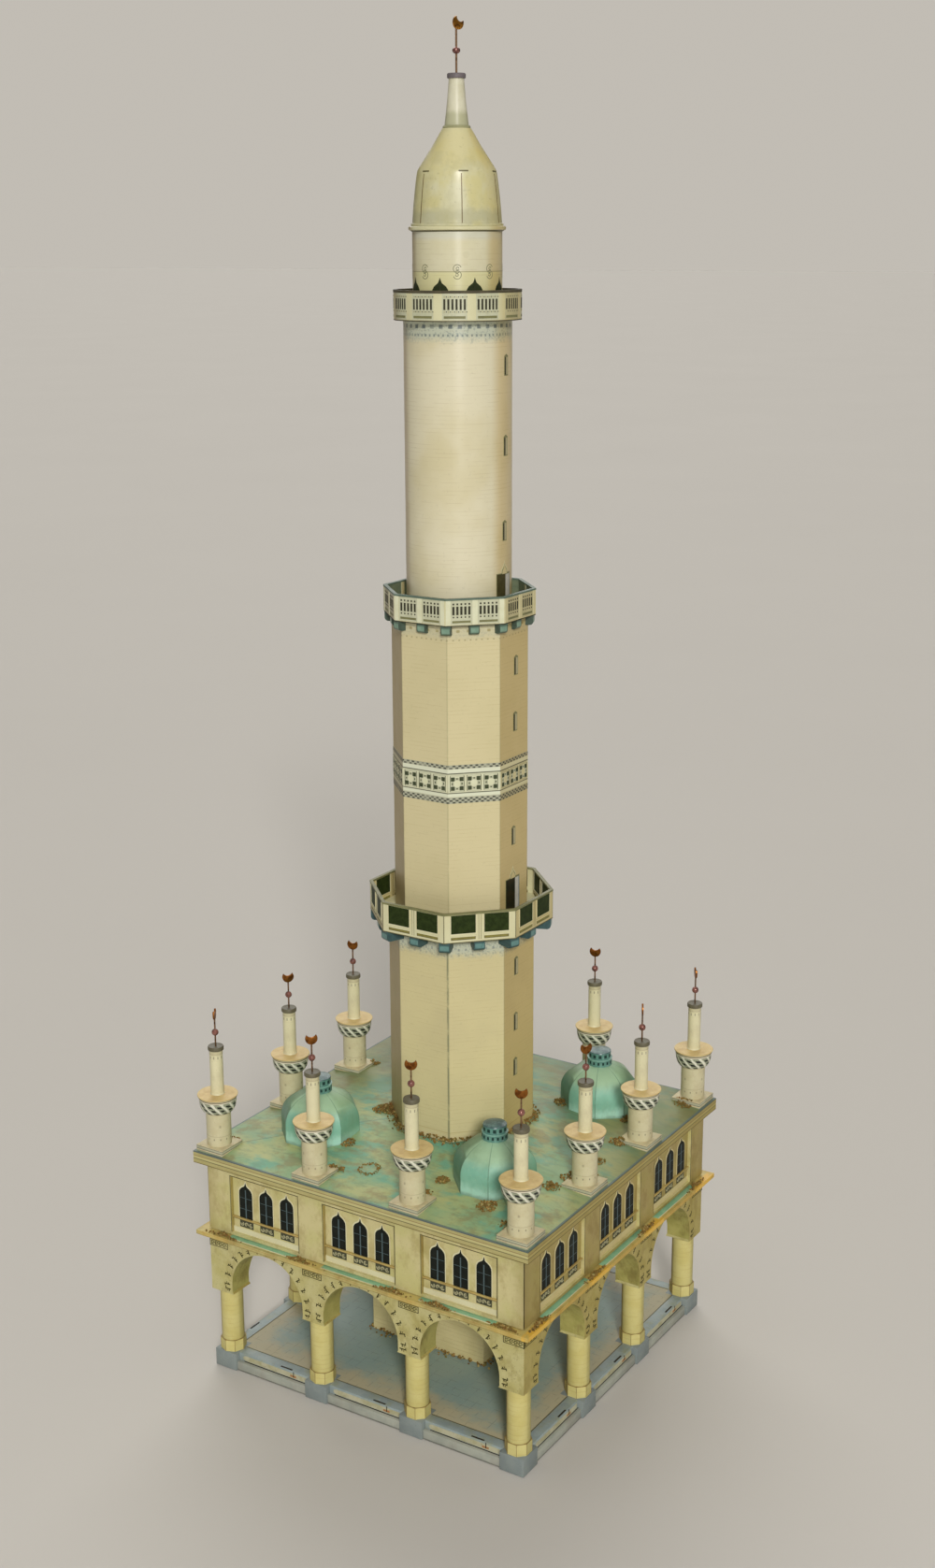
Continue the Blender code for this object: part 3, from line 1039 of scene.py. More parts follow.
    @staticmethod
    def copy(item: Piece, placement: Matrix) -> Piece:
        """Copy a piece.

        Args:
            item: the piece.
            placement: where the copy goes.

        Returns:
            The copy, with its own mesh and its place in the mesh.
        """
        twin = item.copy()
        twin.data = item.data.copy()
        bpy.context.collection.objects.link(twin)
        return Bench.move(twin, placement)

    @staticmethod
    def move(item: Piece, placement: Matrix) -> Piece:
        """Move the mesh of a piece."""
        item.data.transform(placement)
        return item

    @staticmethod
    def drop(*items: Piece) -> None:
        """Delete pieces that have served, such as a cutter or a model that has been copied."""
        for item in items:
            bpy.data.objects.remove(item)

    @staticmethod
    def join(items: Sequence[Piece]) -> Piece:
        """Join pieces into the first one.

        Args:
            items: the pieces.

        Returns:
            The first piece, with the others in it.
        """
        Bench.only(items[0])
        for item in items:
            item.select_set(True)
        if len(items) > 1:
            bpy.ops.object.join()
        return items[0]

    @staticmethod
    def repeat(item: Piece, placements: Iterable[Matrix], keep: bool = False) -> Piece:
        """Join copies of a piece.

        Args:
            item: the piece.
            placements: where the copies go.
            keep: whether the piece itself stays.

        Returns:
            The copies, joined.
        """
        twins = [Bench.copy(item, placement) for placement in placements]
        if not keep:
            Bench.drop(item)
        return Bench.join(twins)

    @staticmethod
    def keep_own_place(item: Piece) -> Piece:
        """Store where each point is now, for prints that go with a moved piece.

        Args:
            item: the piece.

        Returns:
            The piece.
        """
        spots = np.empty(len(item.data.vertices) * 3, dtype=np.float32)
        item.data.vertices.foreach_get("co", spots)
        kept = item.data.attributes.new(Bench.OWN_PLACE, "FLOAT_VECTOR", "POINT")
        kept.data.foreach_set("vector", spots)
        return item

    @staticmethod
    def hand_over(name: str, items: Sequence[Piece], slot: Slot | None = None, *nodes: str) -> None:
        """Join items into one named piece that rides on the model.

        Args:
            name: name of the piece.
            items: what it is made of.
            slot: material slot of the record; not used.
            nodes: nodes that the piece stands for.
        """
        item = Bench.join(items)
        item.name = name
        item.data.name = name
        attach(item, "root")
        if nodes:
            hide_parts(*nodes)
        LOG.info("%s: %d faces", item.name, len(item.data.polygons))


# Printed and painted finishes
# Painted shade for the sides of the tower that face azimuth 105, and a satin card that carries it; every
# finish below that is given side colours carries painted shade on those sides.
TOWER_PAINTED_SHADE = (0.88, 0.78, 0.6, 1.0)
SATIN_AND_PAINTED_SHADE = {"painted_shade": TOWER_PAINTED_SHADE, "rough": 0.36, "uneven": 0.06}
PLAIN_CREAM = CardFinish("cream_card", ink(210, 208, 170), ink(202, 196, 152), speck=Speck(0.12), **SATIN_AND_PAINTED_SHADE)
PALE_CREAM = CardFinish("pale_cream_card", ink(218, 216, 180), ink(208, 202, 160), speck=Speck(0.08),
                        painted_shade=TOWER_PAINTED_SHADE)
PANEL_PALE = CardFinish("panel_card", ink(196, 198, 170), ink(180, 182, 152), 2.0, speck=Speck(0.2), **SATIN_AND_PAINTED_SHADE)
POST_PALE = CardFinish("post_card", ink(216, 218, 188), ink(206, 206, 170), 3.0, **SATIN_AND_PAINTED_SHADE)
WALL_CREAM = WallFinish("wall_card", ink(204, 195, 144), ink(192, 188, 122), 8.0, 0.7,
                        speck=Speck(0.22, ink(146, 130, 84), 0.8), stain=Stain(ink(162, 146, 90), 0.55),
                        painted_shade=(0.64, 0.56, 0.38, 1.0))
ARCADE_CREAM = CardFinish("arcade_card", ink(194, 188, 134), ink(180, 172, 106), 6.0, 0.7,
                          speck=Speck(0.45, ink(112, 98, 56), 0.6), stain=Stain(ink(146, 132, 70), 0.45, 3.6),
                          painted_shade=(0.8, 0.72, 0.48, 1.0))
REVEAL_OLIVE = CardFinish("reveal_card", ink(176, 170, 100), ink(140, 136, 66), 5.0, speck=Speck(0.3),
                          stain=Stain(ink(112, 96, 50), 0.6))
COLUMN_YELLOW = CardFinish("column_card", ink(208, 199, 132), ink(196, 183, 106), 5.0, speck=Speck(0.14),
                           courses=Courses(1.6, colour=ink(184, 164, 96)), painted_shade=(0.84, 0.84, 0.8, 1.0))
CORE_CREAM = CardFinish("core_print", ink(206, 196, 146), ink(186, 176, 124), 10.0, speck=Speck(0.2),
                        courses=Courses(1.45))
PEDESTAL_GREY = CardFinish("pedestal_card", ink(134, 144, 142), ink(118, 130, 132), 4.0,
                           speck=Speck(0.25, ink(90, 98, 98)))
KERB_GREY = CardFinish("kerb_card", ink(152, 166, 166), ink(132, 148, 152), 4.0,
                       speck=Speck(0.3, ink(96, 108, 108)), stain=Stain(ink(150, 152, 108), 0.5, 5.0))
KERB_PANEL = CardFinish("kerb_panel_print", ink(186, 184, 156), ink(150, 146, 98), 3.4,
                        speck=Speck(0.3, ink(120, 96, 60), 0.9))
KERB_LOW = CardFinish("low_kerb_card", ink(166, 170, 158), ink(142, 148, 140), 4.0,
                      stain=Stain(ink(150, 144, 134), 0.4),
                      bands=(Band(-0.1, 0.5, ink(84, 88, 80), soft=0.2, share=0.7),))
FLOOR_PAVING = FloorFinish("paving_card", ink(132, 154, 148), ink(152, 164, 148), 12.0,
                           speck=Speck(0.2, ink(90, 104, 100)))
LEDGE_OCHRE = LedgeFinish("ledge_card", ink(190, 182, 120), ink(176, 160, 96), 3.0, 0.8,
                          speck=Speck(0.4, ink(132, 104, 54)), stain=Stain(ink(150, 126, 66)),
                          painted_shade=(0.95, 0.84, 0.56, 1.0),
                          bands=(Band(47.9, 48.25, ink(150, 132, 76)),
                                 Band(48.85, 49.1, ink(176, 140, 76), share=0.7)))
# The fascia band from 74.62 to 74.9 is a thin dark line of painted shadow under the cream band.
ROOF_VERDIGRIS = RoofFinish(
    "roof_card", ink(174, 180, 122), ink(140, 172, 128), painted_shade=(0.8, 0.72, 0.5, 1.0),
    bands=(Band(76.85, 77.4, ink(84, 98, 98)), Band(75.7, 75.95, ink(124, 96, 58), share=0.7),
           Band(74.9, 75.7, ink(196, 190, 134), share=0.7), Band(74.62, 74.9, ink(92, 88, 56), share=0.8),
           Band(73.2, 73.5, ink(120, 108, 60))))
MASONRY = CardFinish(
    "masonry", ink(210, 200, 152), ink(200, 190, 146), 24.0, 0.6, speck=Speck(0.12, ink(150, 146, 112), 1.0),
    courses=Courses(1.2, 0.2, ink(160, 140, 92)), folds=Folds(OCTAGON, 0.008, 0.3, ink(128, 126, 88)),
    painted_shade=TOWER_PAINTED_SHADE, rough=0.44, uneven=0.07)
DARK_GLASS = CardFinish("window_print", ink(24, 28, 24), ink(36, 40, 34), 2.5)
BAR_BLUE = CardFinish("window_bar_print", ink(80, 100, 104), ink(58, 74, 80), 2.0)
LINE_OLIVE = CardFinish("outline_print", ink(98, 92, 56), ink(70, 68, 44), 3.0)
RING_OLIVE = CardFinish("neck_ring_card", ink(156, 156, 118), ink(128, 128, 92), 3.0)
LINE_TAN = CardFinish("tan_line_print", ink(150, 130, 78), ink(128, 112, 66), 2.0)
LINE_DARK = CardFinish("dark_line_print", ink(48, 44, 36), ink(70, 62, 48), 2.0)
# Grey of the recesses' reveals: painted shade.
REVEAL_SHADE = CardFinish("recess_side_shade", ink(136, 132, 112), ink(118, 114, 92), 3.0)
RAIL_TAN = CardFinish("rail_card", ink(184, 164, 98), ink(166, 134, 74), 4.0, speck=Speck(0.3))
LINE_BROWN = CardFinish("brown_line_print", ink(112, 92, 54), ink(90, 80, 48), 3.0)
PANEL_GREY = CardFinish("panel_print", ink(78, 80, 62), ink(58, 60, 48), 1.2)
MARK_OLIVE = CardFinish("mark_print", ink(84, 80, 46), ink(66, 62, 36), 1.2)
SCROLL_WHITE = CardFinish("scroll_print", ink(182, 178, 140), ink(158, 154, 118), 2.0)
STRIP_TURQUOISE = CardFinish("turquoise_print", ink(144, 190, 150), ink(112, 166, 130), 3.0)
RUST_PRINT = CardFinish("rust_print", ink(170, 116, 70), ink(150, 124, 84), 1.2)
PANEL_GREEN = CardFinish("green_panel_print", ink(34, 46, 16), ink(52, 66, 28), 1.6,
                         speck=Speck(0.35, ink(84, 92, 48), 0.3))
# The corbels' darker bands, under the deck and on the lower curve, and their darker sides and edges are
# painted shade.
CORBEL_TEAL = CardFinish(
    "corbel_card", ink(98, 138, 134), ink(76, 114, 114), 1.4, own=True, rough=0.3,
    bands=(Band(-0.8, 0.2, ink(58, 86, 86), soft=0.25), Band(-4.0, -2.4, ink(54, 80, 82), soft=0.4)))
CORBEL_SHADE = CardFinish("corbel_side_shade", ink(60, 90, 92), ink(44, 66, 70), 1.4)
CORBEL_PALE = CardFinish(
    "pale_corbel_card", ink(126, 156, 136), ink(98, 128, 112), 1.4, own=True, rough=0.3,
    bands=(Band(-0.7, 0.2, ink(80, 102, 88), soft=0.2), Band(-4.0, -2.3, ink(70, 86, 72), soft=0.4)))
PALE_CORBEL_SHADE = CardFinish("pale_corbel_side_shade", ink(74, 92, 80), ink(48, 62, 54), 1.4)
RAIL_TEAL = CardFinish("teal_rail_card", ink(92, 112, 98), ink(74, 92, 84), 3.0)
RAIL_OLIVE = CardFinish("olive_rail_card", ink(124, 124, 82), ink(98, 100, 66), 3.0)
RAIL_BROWN = CardFinish("brown_rail_card", ink(76, 72, 58), ink(98, 92, 70), 3.0)
DOOR_DARK = CardFinish("door_print", ink(32, 34, 20), ink(58, 48, 26), 3.0)
DOOR_OLIVE = CardFinish("olive_door_print", ink(66, 62, 34), ink(84, 78, 46), 2.0)
DOOR_PALE = CardFinish("pale_door_print", ink(196, 194, 182), ink(174, 172, 162), 2.0)
DOOR_EDGE = CardFinish("door_edge_print", ink(140, 150, 148), ink(112, 122, 122), 2.0)
SLIT_BLUE = CardFinish("slit_pane_print", ink(176, 168, 130), ink(150, 146, 118), 2.0)
SLOT_GREY = CardFinish("slot_print", ink(54, 54, 42), ink(76, 74, 58), 1.5)
SLOT_OLIVE = CardFinish("olive_slot_print", ink(132, 126, 62), ink(104, 100, 50), 1.5)
FRIEZE_GREEN = CardFinish("frieze_block_print", ink(62, 70, 50), ink(84, 90, 68), 1.0)
FRIEZE_MID = CardFinish("frieze_ring_print", ink(184, 186, 158), ink(166, 170, 142), 1.0)
LINING_TEAL = CardFinish("lining_card", ink(112, 124, 100), ink(84, 98, 82), 2.0, speck=Speck(0.3))
SCROLL_GREY = CardFinish("scroll_grey_print", ink(128, 130, 96), ink(104, 108, 78), 2.0)
ARCH_GREEN = CardFinish("arch_print", ink(44, 52, 30), ink(60, 66, 44), 1.6)
LANTERN_TEAL = CardFinish(
    "lantern_card", ink(94, 142, 130), ink(70, 114, 108), 1.6, own=True, rough=0.3,
    stain=Stain(ink(150, 186, 176), 0.35, 2.0),
    bands=(Band(98.5, 99.6, ink(70, 98, 100), soft=0.1), Band(96.1, 96.5, ink(132, 180, 166), soft=0.08)))
LANTERN_DARK = CardFinish("lantern_slot_print", ink(34, 58, 54), ink(46, 74, 68), 1.2)
CAP_GREY = CardFinish("cap_card", ink(100, 96, 76), ink(80, 74, 54), 2.0, speck=Speck(0.3))
CAP_PURPLE = CardFinish("finial_cap_card", ink(112, 104, 108), ink(92, 88, 90), 2.0)
BALCONY_TAN = CardFinish("balcony_card", ink(216, 192, 132), ink(204, 176, 114), 3.0, own=True,
                         speck=Speck(0.2), stain=Stain(ink(184, 150, 96), 0.4, 3.0))
WIRE_BROWN = MetalFinish("wire", ink(150, 120, 92), ink(96, 72, 54), 0.35)
BEAD_PINK = MetalFinish("bead", ink(146, 98, 88), ink(92, 58, 54), 0.06, 0.3)
CRESCENT_COPPER = MetalFinish("crescent", ink(150, 96, 44), ink(98, 58, 26), 0.34)
FINIAL_BRASS = MetalFinish("finial_crescent", ink(200, 140, 58), ink(92, 56, 26), 0.26)
MOSS_BROWN = MossFinish("moss", (
    (0.0, ink(96, 84, 44)), (1.0, ink(192, 178, 118)), (0.2, ink(138, 112, 58)),
    (0.42, ink(156, 124, 66)), (0.62, ink(122, 120, 66)), (0.76, ink(140, 98, 54)),
    (0.9, ink(176, 150, 88))))


@dataclass(frozen=True)
class Lamp:
    """A soft, distant light, or a round one at a reach in millimetres, its spread then its width."""

    name: str
    azimuth: float
    elevation: float
    spread: float
    strength: float
    colour: tuple[float, float, float] = (1.0, 0.98, 0.95)
    reach: float = 0.0

    def power(self) -> float:
        """Watts that give a near lamp's strength at the model, or a distant one's strength."""
        return self.strength * math.pi * (self.reach * MM) ** 2 if self.reach else self.strength


@dataclass
class Stage:
    """Pale floor, soft lights and the camera at the photograph's angle."""

    target: tuple[float, float, float] = (2.05, 1.02, 192.68)
    azimuth: float = 32.48
    elevation: float = 15.43
    roll: float = -0.25
    distance: float = 616.7
    focal_pixels: float = 2113.9
    image_height: float = 1677.0
    sensor: float = 36.0
    floor_side: float = 40000.0
    floor_drop: float = 0.2
    ambient: float = 0.13
    ambient_colour: Ink = (1.0, 0.93, 0.78, 1.0)
    backdrop: float = 0.5376
    backdrop_colour: Ink = (1.0, 0.942, 0.848, 1.0)
    lamps: tuple[Lamp, ...] = (
        Lamp("key", 38.0, 26.0, 10.0, 1.88, (1.0, 0.965, 0.93)),
        Lamp("near_key", 35.5, 15.5, 110.0, 0.42, (1.0, 0.98, 0.96), 600.0),
        Lamp("left_fill", -58.0, 30.0, 50.0, 0.05),
        Lamp("right_fill", 128.0, 30.0, 50.0, 0.05),
        Lamp("back_fill", 215.0, 35.0, 50.0, 1.3),
        Lamp("top_fill", 0.0, 80.0, 60.0, 0.5),
    )

    def aim(self, item: Piece, azimuth: float, elevation: float, distance: float, roll: float = 0.0) -> None:
        """Place something at an angle and let it look at the target.

        Args:
            item: camera or lamp.
            azimuth: its azimuth in degrees.
            elevation: its elevation in degrees.
            distance: how far it stands from the target.
            roll: its turn about its own axis in degrees.
        """
        a, e = math.radians(azimuth), math.radians(elevation)
        way = Vector((math.sin(a) * math.cos(e), -math.cos(a) * math.cos(e), math.sin(e)))
        item.location = (Vector(self.target) + way * distance) * MM
        turn = (-way).to_track_quat("-Z", "Y").to_matrix().to_4x4()
        item.rotation_euler = (turn @ around(roll)).to_euler()

    def build_camera(self) -> None:
        """Make the camera."""
        bpy.ops.object.camera_add()
        camera = bpy.context.object
        camera.data.sensor_width = self.sensor
        camera.data.lens = self.focal_pixels * self.sensor / self.image_height
        camera.data.clip_start = 0.01
        self.aim(camera, self.azimuth, self.elevation, self.distance, self.roll)
        bpy.context.scene.camera = camera

    def build_lamps(self) -> None:
        """Make the lamps."""
        for lamp in self.lamps:
            bpy.ops.object.light_add(type="AREA" if lamp.reach else "SUN")
            light = bpy.context.object
            light.name = lamp.name
            if lamp.reach:
                light.data.shape = "DISK"
                light.data.size = lamp.spread * MM
            else:
                light.data.angle = math.radians(lamp.spread)
            light.data.energy = lamp.power()
            light.data.color = lamp.colour
            self.aim(light, lamp.azimuth, lamp.elevation, lamp.reach or 2 * self.distance)

    def build_floor(self) -> None:
        """Make the floor, which isn't part of the object."""
        Bench.clear()
        place = (0.0, 0.0, -self.floor_drop * MM)
        bpy.ops.mesh.primitive_plane_add(size=self.floor_side * MM, location=place)
        floor = bpy.context.object
        floor.name = "studio_floor"
        sheet = NodeSheet("studio_floor")
        grain = sheet.mix(sheet.noise(300.0), ink(206, 203, 197), ink(202, 199, 193))
        sheet.feed(sheet.shader.inputs["Base Color"], grain)
        sheet.set(Roughness=0.85)
        floor.data.materials.append(sheet.material)

    def build_world(self) -> None:
        """Even light from all round, and a plain backdrop as bright as the floor."""
        world = bpy.data.worlds.new("studio")
        bpy.context.scene.world = world
        world.use_nodes = True
        tree = world.node_tree
        lit, seen = tree.nodes["Background"], tree.nodes.new("ShaderNodeBackground")
        choice = tree.nodes.new("ShaderNodeMixShader")
        looks = ((lit, self.ambient_colour, self.ambient), (seen, self.backdrop_colour, self.backdrop))
        for index, (light, colour, strength) in enumerate(looks, start=1):
            light.inputs["Color"].default_value = colour
            light.inputs["Strength"].default_value = strength
            tree.links.new(light.outputs[0], choice.inputs[index])
        path = tree.nodes.new("ShaderNodeLightPath")
        tree.links.new(path.outputs["Is Camera Ray"], choice.inputs[0])
        tree.links.new(choice.outputs[0], tree.nodes["World Output"].inputs["Surface"])

    def build(self) -> None:
        """Make the whole stage."""
        bpy.context.scene.view_settings.view_transform = "Standard"
        self.build_world()
        self.build_camera()
        self.build_lamps()
        self.build_floor()


@dataclass
class Ring:
    """Places of the twelve columns or turrets round the base."""

    offset: float = 54.6

    def places(self) -> dict[str, tuple[float, float]]:
        """Find the places.

        Returns:
            Name and place of each, in millimetres.
        """
        row = [-self.offset, -BAY / 2, BAY / 2, self.offset]
        found = {}
        for side, y in (("front", -self.offset), ("back", self.offset)):
            for index, x in enumerate(row, start=1):
                found[f"{side}_{index}"] = (x, y)
        for side, x in (("left", -self.offset), ("right", self.offset)):
            for index in (2, 3):
                found[f"{side}_{index}"] = (x, row[index - 1])
        return found


@dataclass
class Plinth:
    """Paved floor slab, two-step kerbs between the columns, and pedestals."""

    ring: Ring
    height: float = PLINTH_TOP
    pedestal_half: float = 4.2
    lower_face: float = 58.1
    lower_height: float = 3.2
    upper_face: float = 57.0
    upper_back: float = 53.0
    floor_half: float = 56.6
    dash: tuple[float, float] = (2.6, 7.2)

    def build(self) -> None:
        """Make the slab, the kerbs, the pedestals and the printed dashes."""
        half = self.floor_half
        slab = Bench.block((-half, -half, 0.0), (half, half, self.height - 0.02), FLOOR_PAVING, 0.1)
        Bench.hand_over("floor_slab", [slab], Slot.STONE, "plinth")
        self.build_kerbs()
        self.build_pedestals()

    def riser_prints(self, half: float) -> Piece:
        """Prints of the upper riser: a stone panel that is round at its left end, and marks.

        Args:
            half: half of the bay's clear width.

        Returns:
            The prints.
        """
        low, high = self.lower_height + 0.45, self.height - 0.6
        panel = [(half - 0.9, low), (half - 0.9, high)]
        panel += arc(0.8 * (high - low), 90, 270, 10, 3.0 - half, (low + high) / 2, 0.625)
        prints = [Bench.plate(panel, KERB_PANEL, 0.1),
                  Bench.strip(2.0 - half, half, self.lower_height, self.lower_height + 0.3, LINE_DARK, 0.12),
                  Bench.strip(half - 6.0, half - 5.7, 4.0, 5.9, LINE_DARK, 0.14),
                  Bench.strip(half - 7.2, half - 4.8, 4.0, 4.7, RUST_PRINT, 0.13)]
        return Bench.move(Bench.join(prints), at(0.0, -self.upper_face, 0.0))

    def build_kerbs(self) -> None:
        """Make two steps in each bay of each side, with their prints."""
        half, top, face = BAY / 2 - self.pedestal_half, self.height, self.upper_face
        upper = Bench.block((-half, -face, self.lower_height), (half, -self.upper_back, top + 0.02),
                            KERB_GREY, 0.22, 3)
        lower = Bench.block((-half, -self.lower_face, 0.0), (half, -self.upper_back, self.lower_height),
                            KERB_LOW, 0.12)
        prints = Bench.join([
            self.riser_prints(half),
            Bench.block((self.dash[0], 0.35 - face, top), (self.dash[1], 0.95 - face, top + 0.1),
                        LINE_DARK, 0.03),
            Bench.block((-half, -self.upper_back - 0.3, top - 0.1), (half, -self.upper_back, top + 0.07),
                        LINE_OLIVE, 0.03)])
        spots = [spot for side in Side for spot in side.bays]
        for name, item in (("upper_steps", upper), ("lower_steps", lower), ("kerb_prints", prints)):
            Bench.hand_over(name, [Bench.repeat(item, spots)], Slot.STONE)

    def build_pedestals(self) -> None:
        """Make a block under each column."""
        half = self.pedestal_half
        stone = Bench.block((-half, -half, 0.0), (half, half, self.height + 0.02), PEDESTAL_GREY, 0.14)
        spots = [at(x, y, 0.0) for x, y in self.ring.places().values()]
        Bench.hand_over("pedestals", [Bench.repeat(stone, spots)], Slot.STONE)


@dataclass
class Columns:
    """Rolled paper columns with folded eight-sided socles."""

    ring: Ring
    radius: float = 3.66
    foot: float = PLINTH_TOP
    head: float = 28.0
    socle_half: float = 3.84
    socle_height: float = 4.0
    line_half: float = 0.08
    left_turn: float = 22.0

    def build(self) -> None:
        """Model one column and copy it to its places."""
        foot, head, top, half = self.foot, self.head, self.foot + self.socle_height, self.socle_half
        rolled = Bench.turned([
            (0.0, foot), (self.radius - 0.05, foot), (self.radius, foot + 0.1), (self.radius, head - 0.7),
            (self.radius + 0.1, head - 0.55), (self.radius + 0.1, head), (0.0, head)],
            SMALL_ROUND, COLUMN_YELLOW)
        socle = Bench.turned([(0.0, foot - 0.05), (half, foot - 0.05), (half, top - 0.25), (half - 0.2, top),
                              (0.0, top)], OCTAGON, COLUMN_YELLOW)
        line = Bench.tube(half + 0.03, half - 0.4, top - 0.1, top + 0.02, OCTAGON, LINE_TAN)
        fold = Bench.strip(-self.line_half, self.line_half, foot, top - 0.1, LINE_TAN, 0.1)
        corner = at(0.0, -half / math.cos(math.pi / OCTAGON), 0.0)
        folds = Bench.repeat(fold, [turn @ corner for turn in evenly(OCTAGON, 22.5)])
        seam = Bench.strip(-self.line_half, self.line_half, top, head - 0.9, LINE_TAN, 0.07)
        Bench.move(seam, around(180) @ at(0.0, -self.radius, 0.0))
        column = Bench.join([rolled, socle, line, folds, seam])
        for name, (x, y) in self.ring.places().items():
            twin = Bench.copy(column, at(x, y, 0.0) @ around(self.left_turn if x < 0 else 0.0))
            Bench.hand_over(f"card_column_{name}", [twin], Slot.YELLOW, f"column_{name}")
        Bench.drop(column)


@dataclass
class Arcade:
    """Four walls of three round arches with printed marks and panels."""

    depth: float = 8.8
    foot: float = ARCADE_FOOT
    top: float = 48.1
    arch_radius: float = 14.15
    spring: float = 31.3
    inset: float = 2.0
    mark_count: int = 15
    panel_height: float = 44.7
    seed: int = 11

    def build(self) -> None:
        """Model the front wall with its prints, and copy both to the sides."""
        wall, prints = self.build_wall(), self.build_prints()
        for side in Side:
            twin = Bench.copy(wall, side.turn)
            Bench.hand_over(f"arcade_{side.word}", [twin], Slot.CREAM, f"arcade_wall_{side.word}")
            marks = Bench.copy(prints, side.turn)
            Bench.hand_over(f"arcade_prints_{side.word}", [marks], Slot.CREAM)
        Bench.drop(wall, prints)

    def build_wall(self) -> Piece:
        """Make a mitred wall, its arches cut through, with lips at its feet.

        Returns:
            The wall.
        """
        inner, radius = FACE - self.depth, self.arch_radius
        plan = [(-FACE, -FACE), (FACE, -FACE), (inner, -inner), (-inner, -inner)]
        wall = Bench.plate(plan, ARCADE_CREAM, self.top - self.foot, 0.0)
        Bench.move(wall, at(0.0, 0.0, self.foot) @ Matrix.Rotation(-math.pi / 2, 4, "X"))
        outline = [(-radius, self.foot - 1.0), (radius, self.foot - 1.0)]
        outline += arc(radius, 0, 180, 40, z=self.spring)
        for centre in BAYS:
            cutter = Bench.plate(outline, REVEAL_OLIVE, 4 * self.depth, 2 * self.depth)
            Bench.cut(wall, Bench.move(cutter, at(centre, self.depth / 2 - FACE, 0.0)))
        return Bench.join([Bench.smooth(wall), self.build_lips()])

    def build_lips(self) -> Piece:
        """Make the flared lips at the feet between the arches, and one at a corner.

        Returns:
            The lips.
        """
        width = BAY / 2 - self.arch_radius
        lip = Bench.turned([(0.0, 0.0), (width + 0.32, 0.0), (width + 0.32, 0.15), (width + 0.03, 0.7),
                            (0.0, 0.7)], SQUARE, ARCADE_CREAM)
        spots = [at(x * BAY, self.depth / 2 - FACE, self.foot) for x in (-0.5, 0.5, 1.5)]
        return Bench.repeat(lip, spots)

    def build_prints(self) -> Piece:
        """Make the hooks along the arches and the key panels over the columns.

        Returns:
            The prints.
        """
        picks = random.Random(self.seed)
        parts = []
        reach = self.arch_radius + self.inset
        for centre in BAYS:
            steps = self.mark_count - 1
            for index, (x, z) in enumerate(arc(reach, 0, 180, steps, centre, self.spring, 0.965)):
                parts.append(self.hook(x, z, -180 * index / steps, picks))
            for sign in (-1, 1):
                x, turn = centre + sign * (reach - 0.2), 90.0 - 90.0 * sign
                parts.append(self.hook(x, self.foot + 1.7, turn, picks))
        for x in (-1.5 * BAY - 0.9, -BAY / 2, BAY / 2, 1.5 * BAY + 0.9):
            parts.extend(self.key_panel(x))
        return Bench.move(Bench.join(parts), at(0.0, -FACE, 0.0))

    @staticmethod
    def hook(x: float, z: float, turn: float, picks: random.Random) -> Piece:
        """Make a short bar that points away from the arch, with a cross bar and a dot.

        Args:
            x: its place across.
            z: its place upwards.
            turn: its turn in degrees.
            picks: random numbers for its lengths.

        Returns:
            The hook.
        """
        long, cross = picks.uniform(0.9, 1.3), picks.uniform(0.5, 0.95)
        hook = Bench.join(Bench.strips([(-long, long, -0.2, 0.2), (-0.6, -0.22, -0.1, cross),
                                        (long - 0.34, long, -cross, 0.1), (0.1, 0.45, 0.4, 0.75)],
                                       MARK_OLIVE, 0.1))
        flip = Matrix.Scale(picks.choice((-1, 1)), 4, (0, 0, 1))
        Bench.edit(Bench.move(hook, at(x, 0.0, z) @ tilted(turn) @ flip))
        return Bench.close()

    def key_panel(self, x: float) -> list[Piece]:
        """Make a key pattern of thin bars in a frame.

        Args:
            x: middle of the panel.

        Returns:
            The bars.
        """
        bars = [(-3.7, 3.7, 0.88, 1.1), (-3.7, 3.7, -1.1, -0.88), (-3.7, -3.45, -1.1, 1.1),
                (3.45, 3.7, -1.1, 1.1)]
        for left in (-3.1, -1.5, 0.1, 1.7):
            bars += [(left, left + 1.3, 0.4, 0.64), (left, left + 0.24, -0.6, 0.64),
                     (left, left + 1.0, -0.6, -0.36), (left + 0.55, left + 1.55, -0.08, 0.14)]
        z = self.panel_height
        return Bench.strips([(x + left, x + right, z + low, z + high) for left, right, low, high in bars],
                            MARK_OLIVE, 0.11)


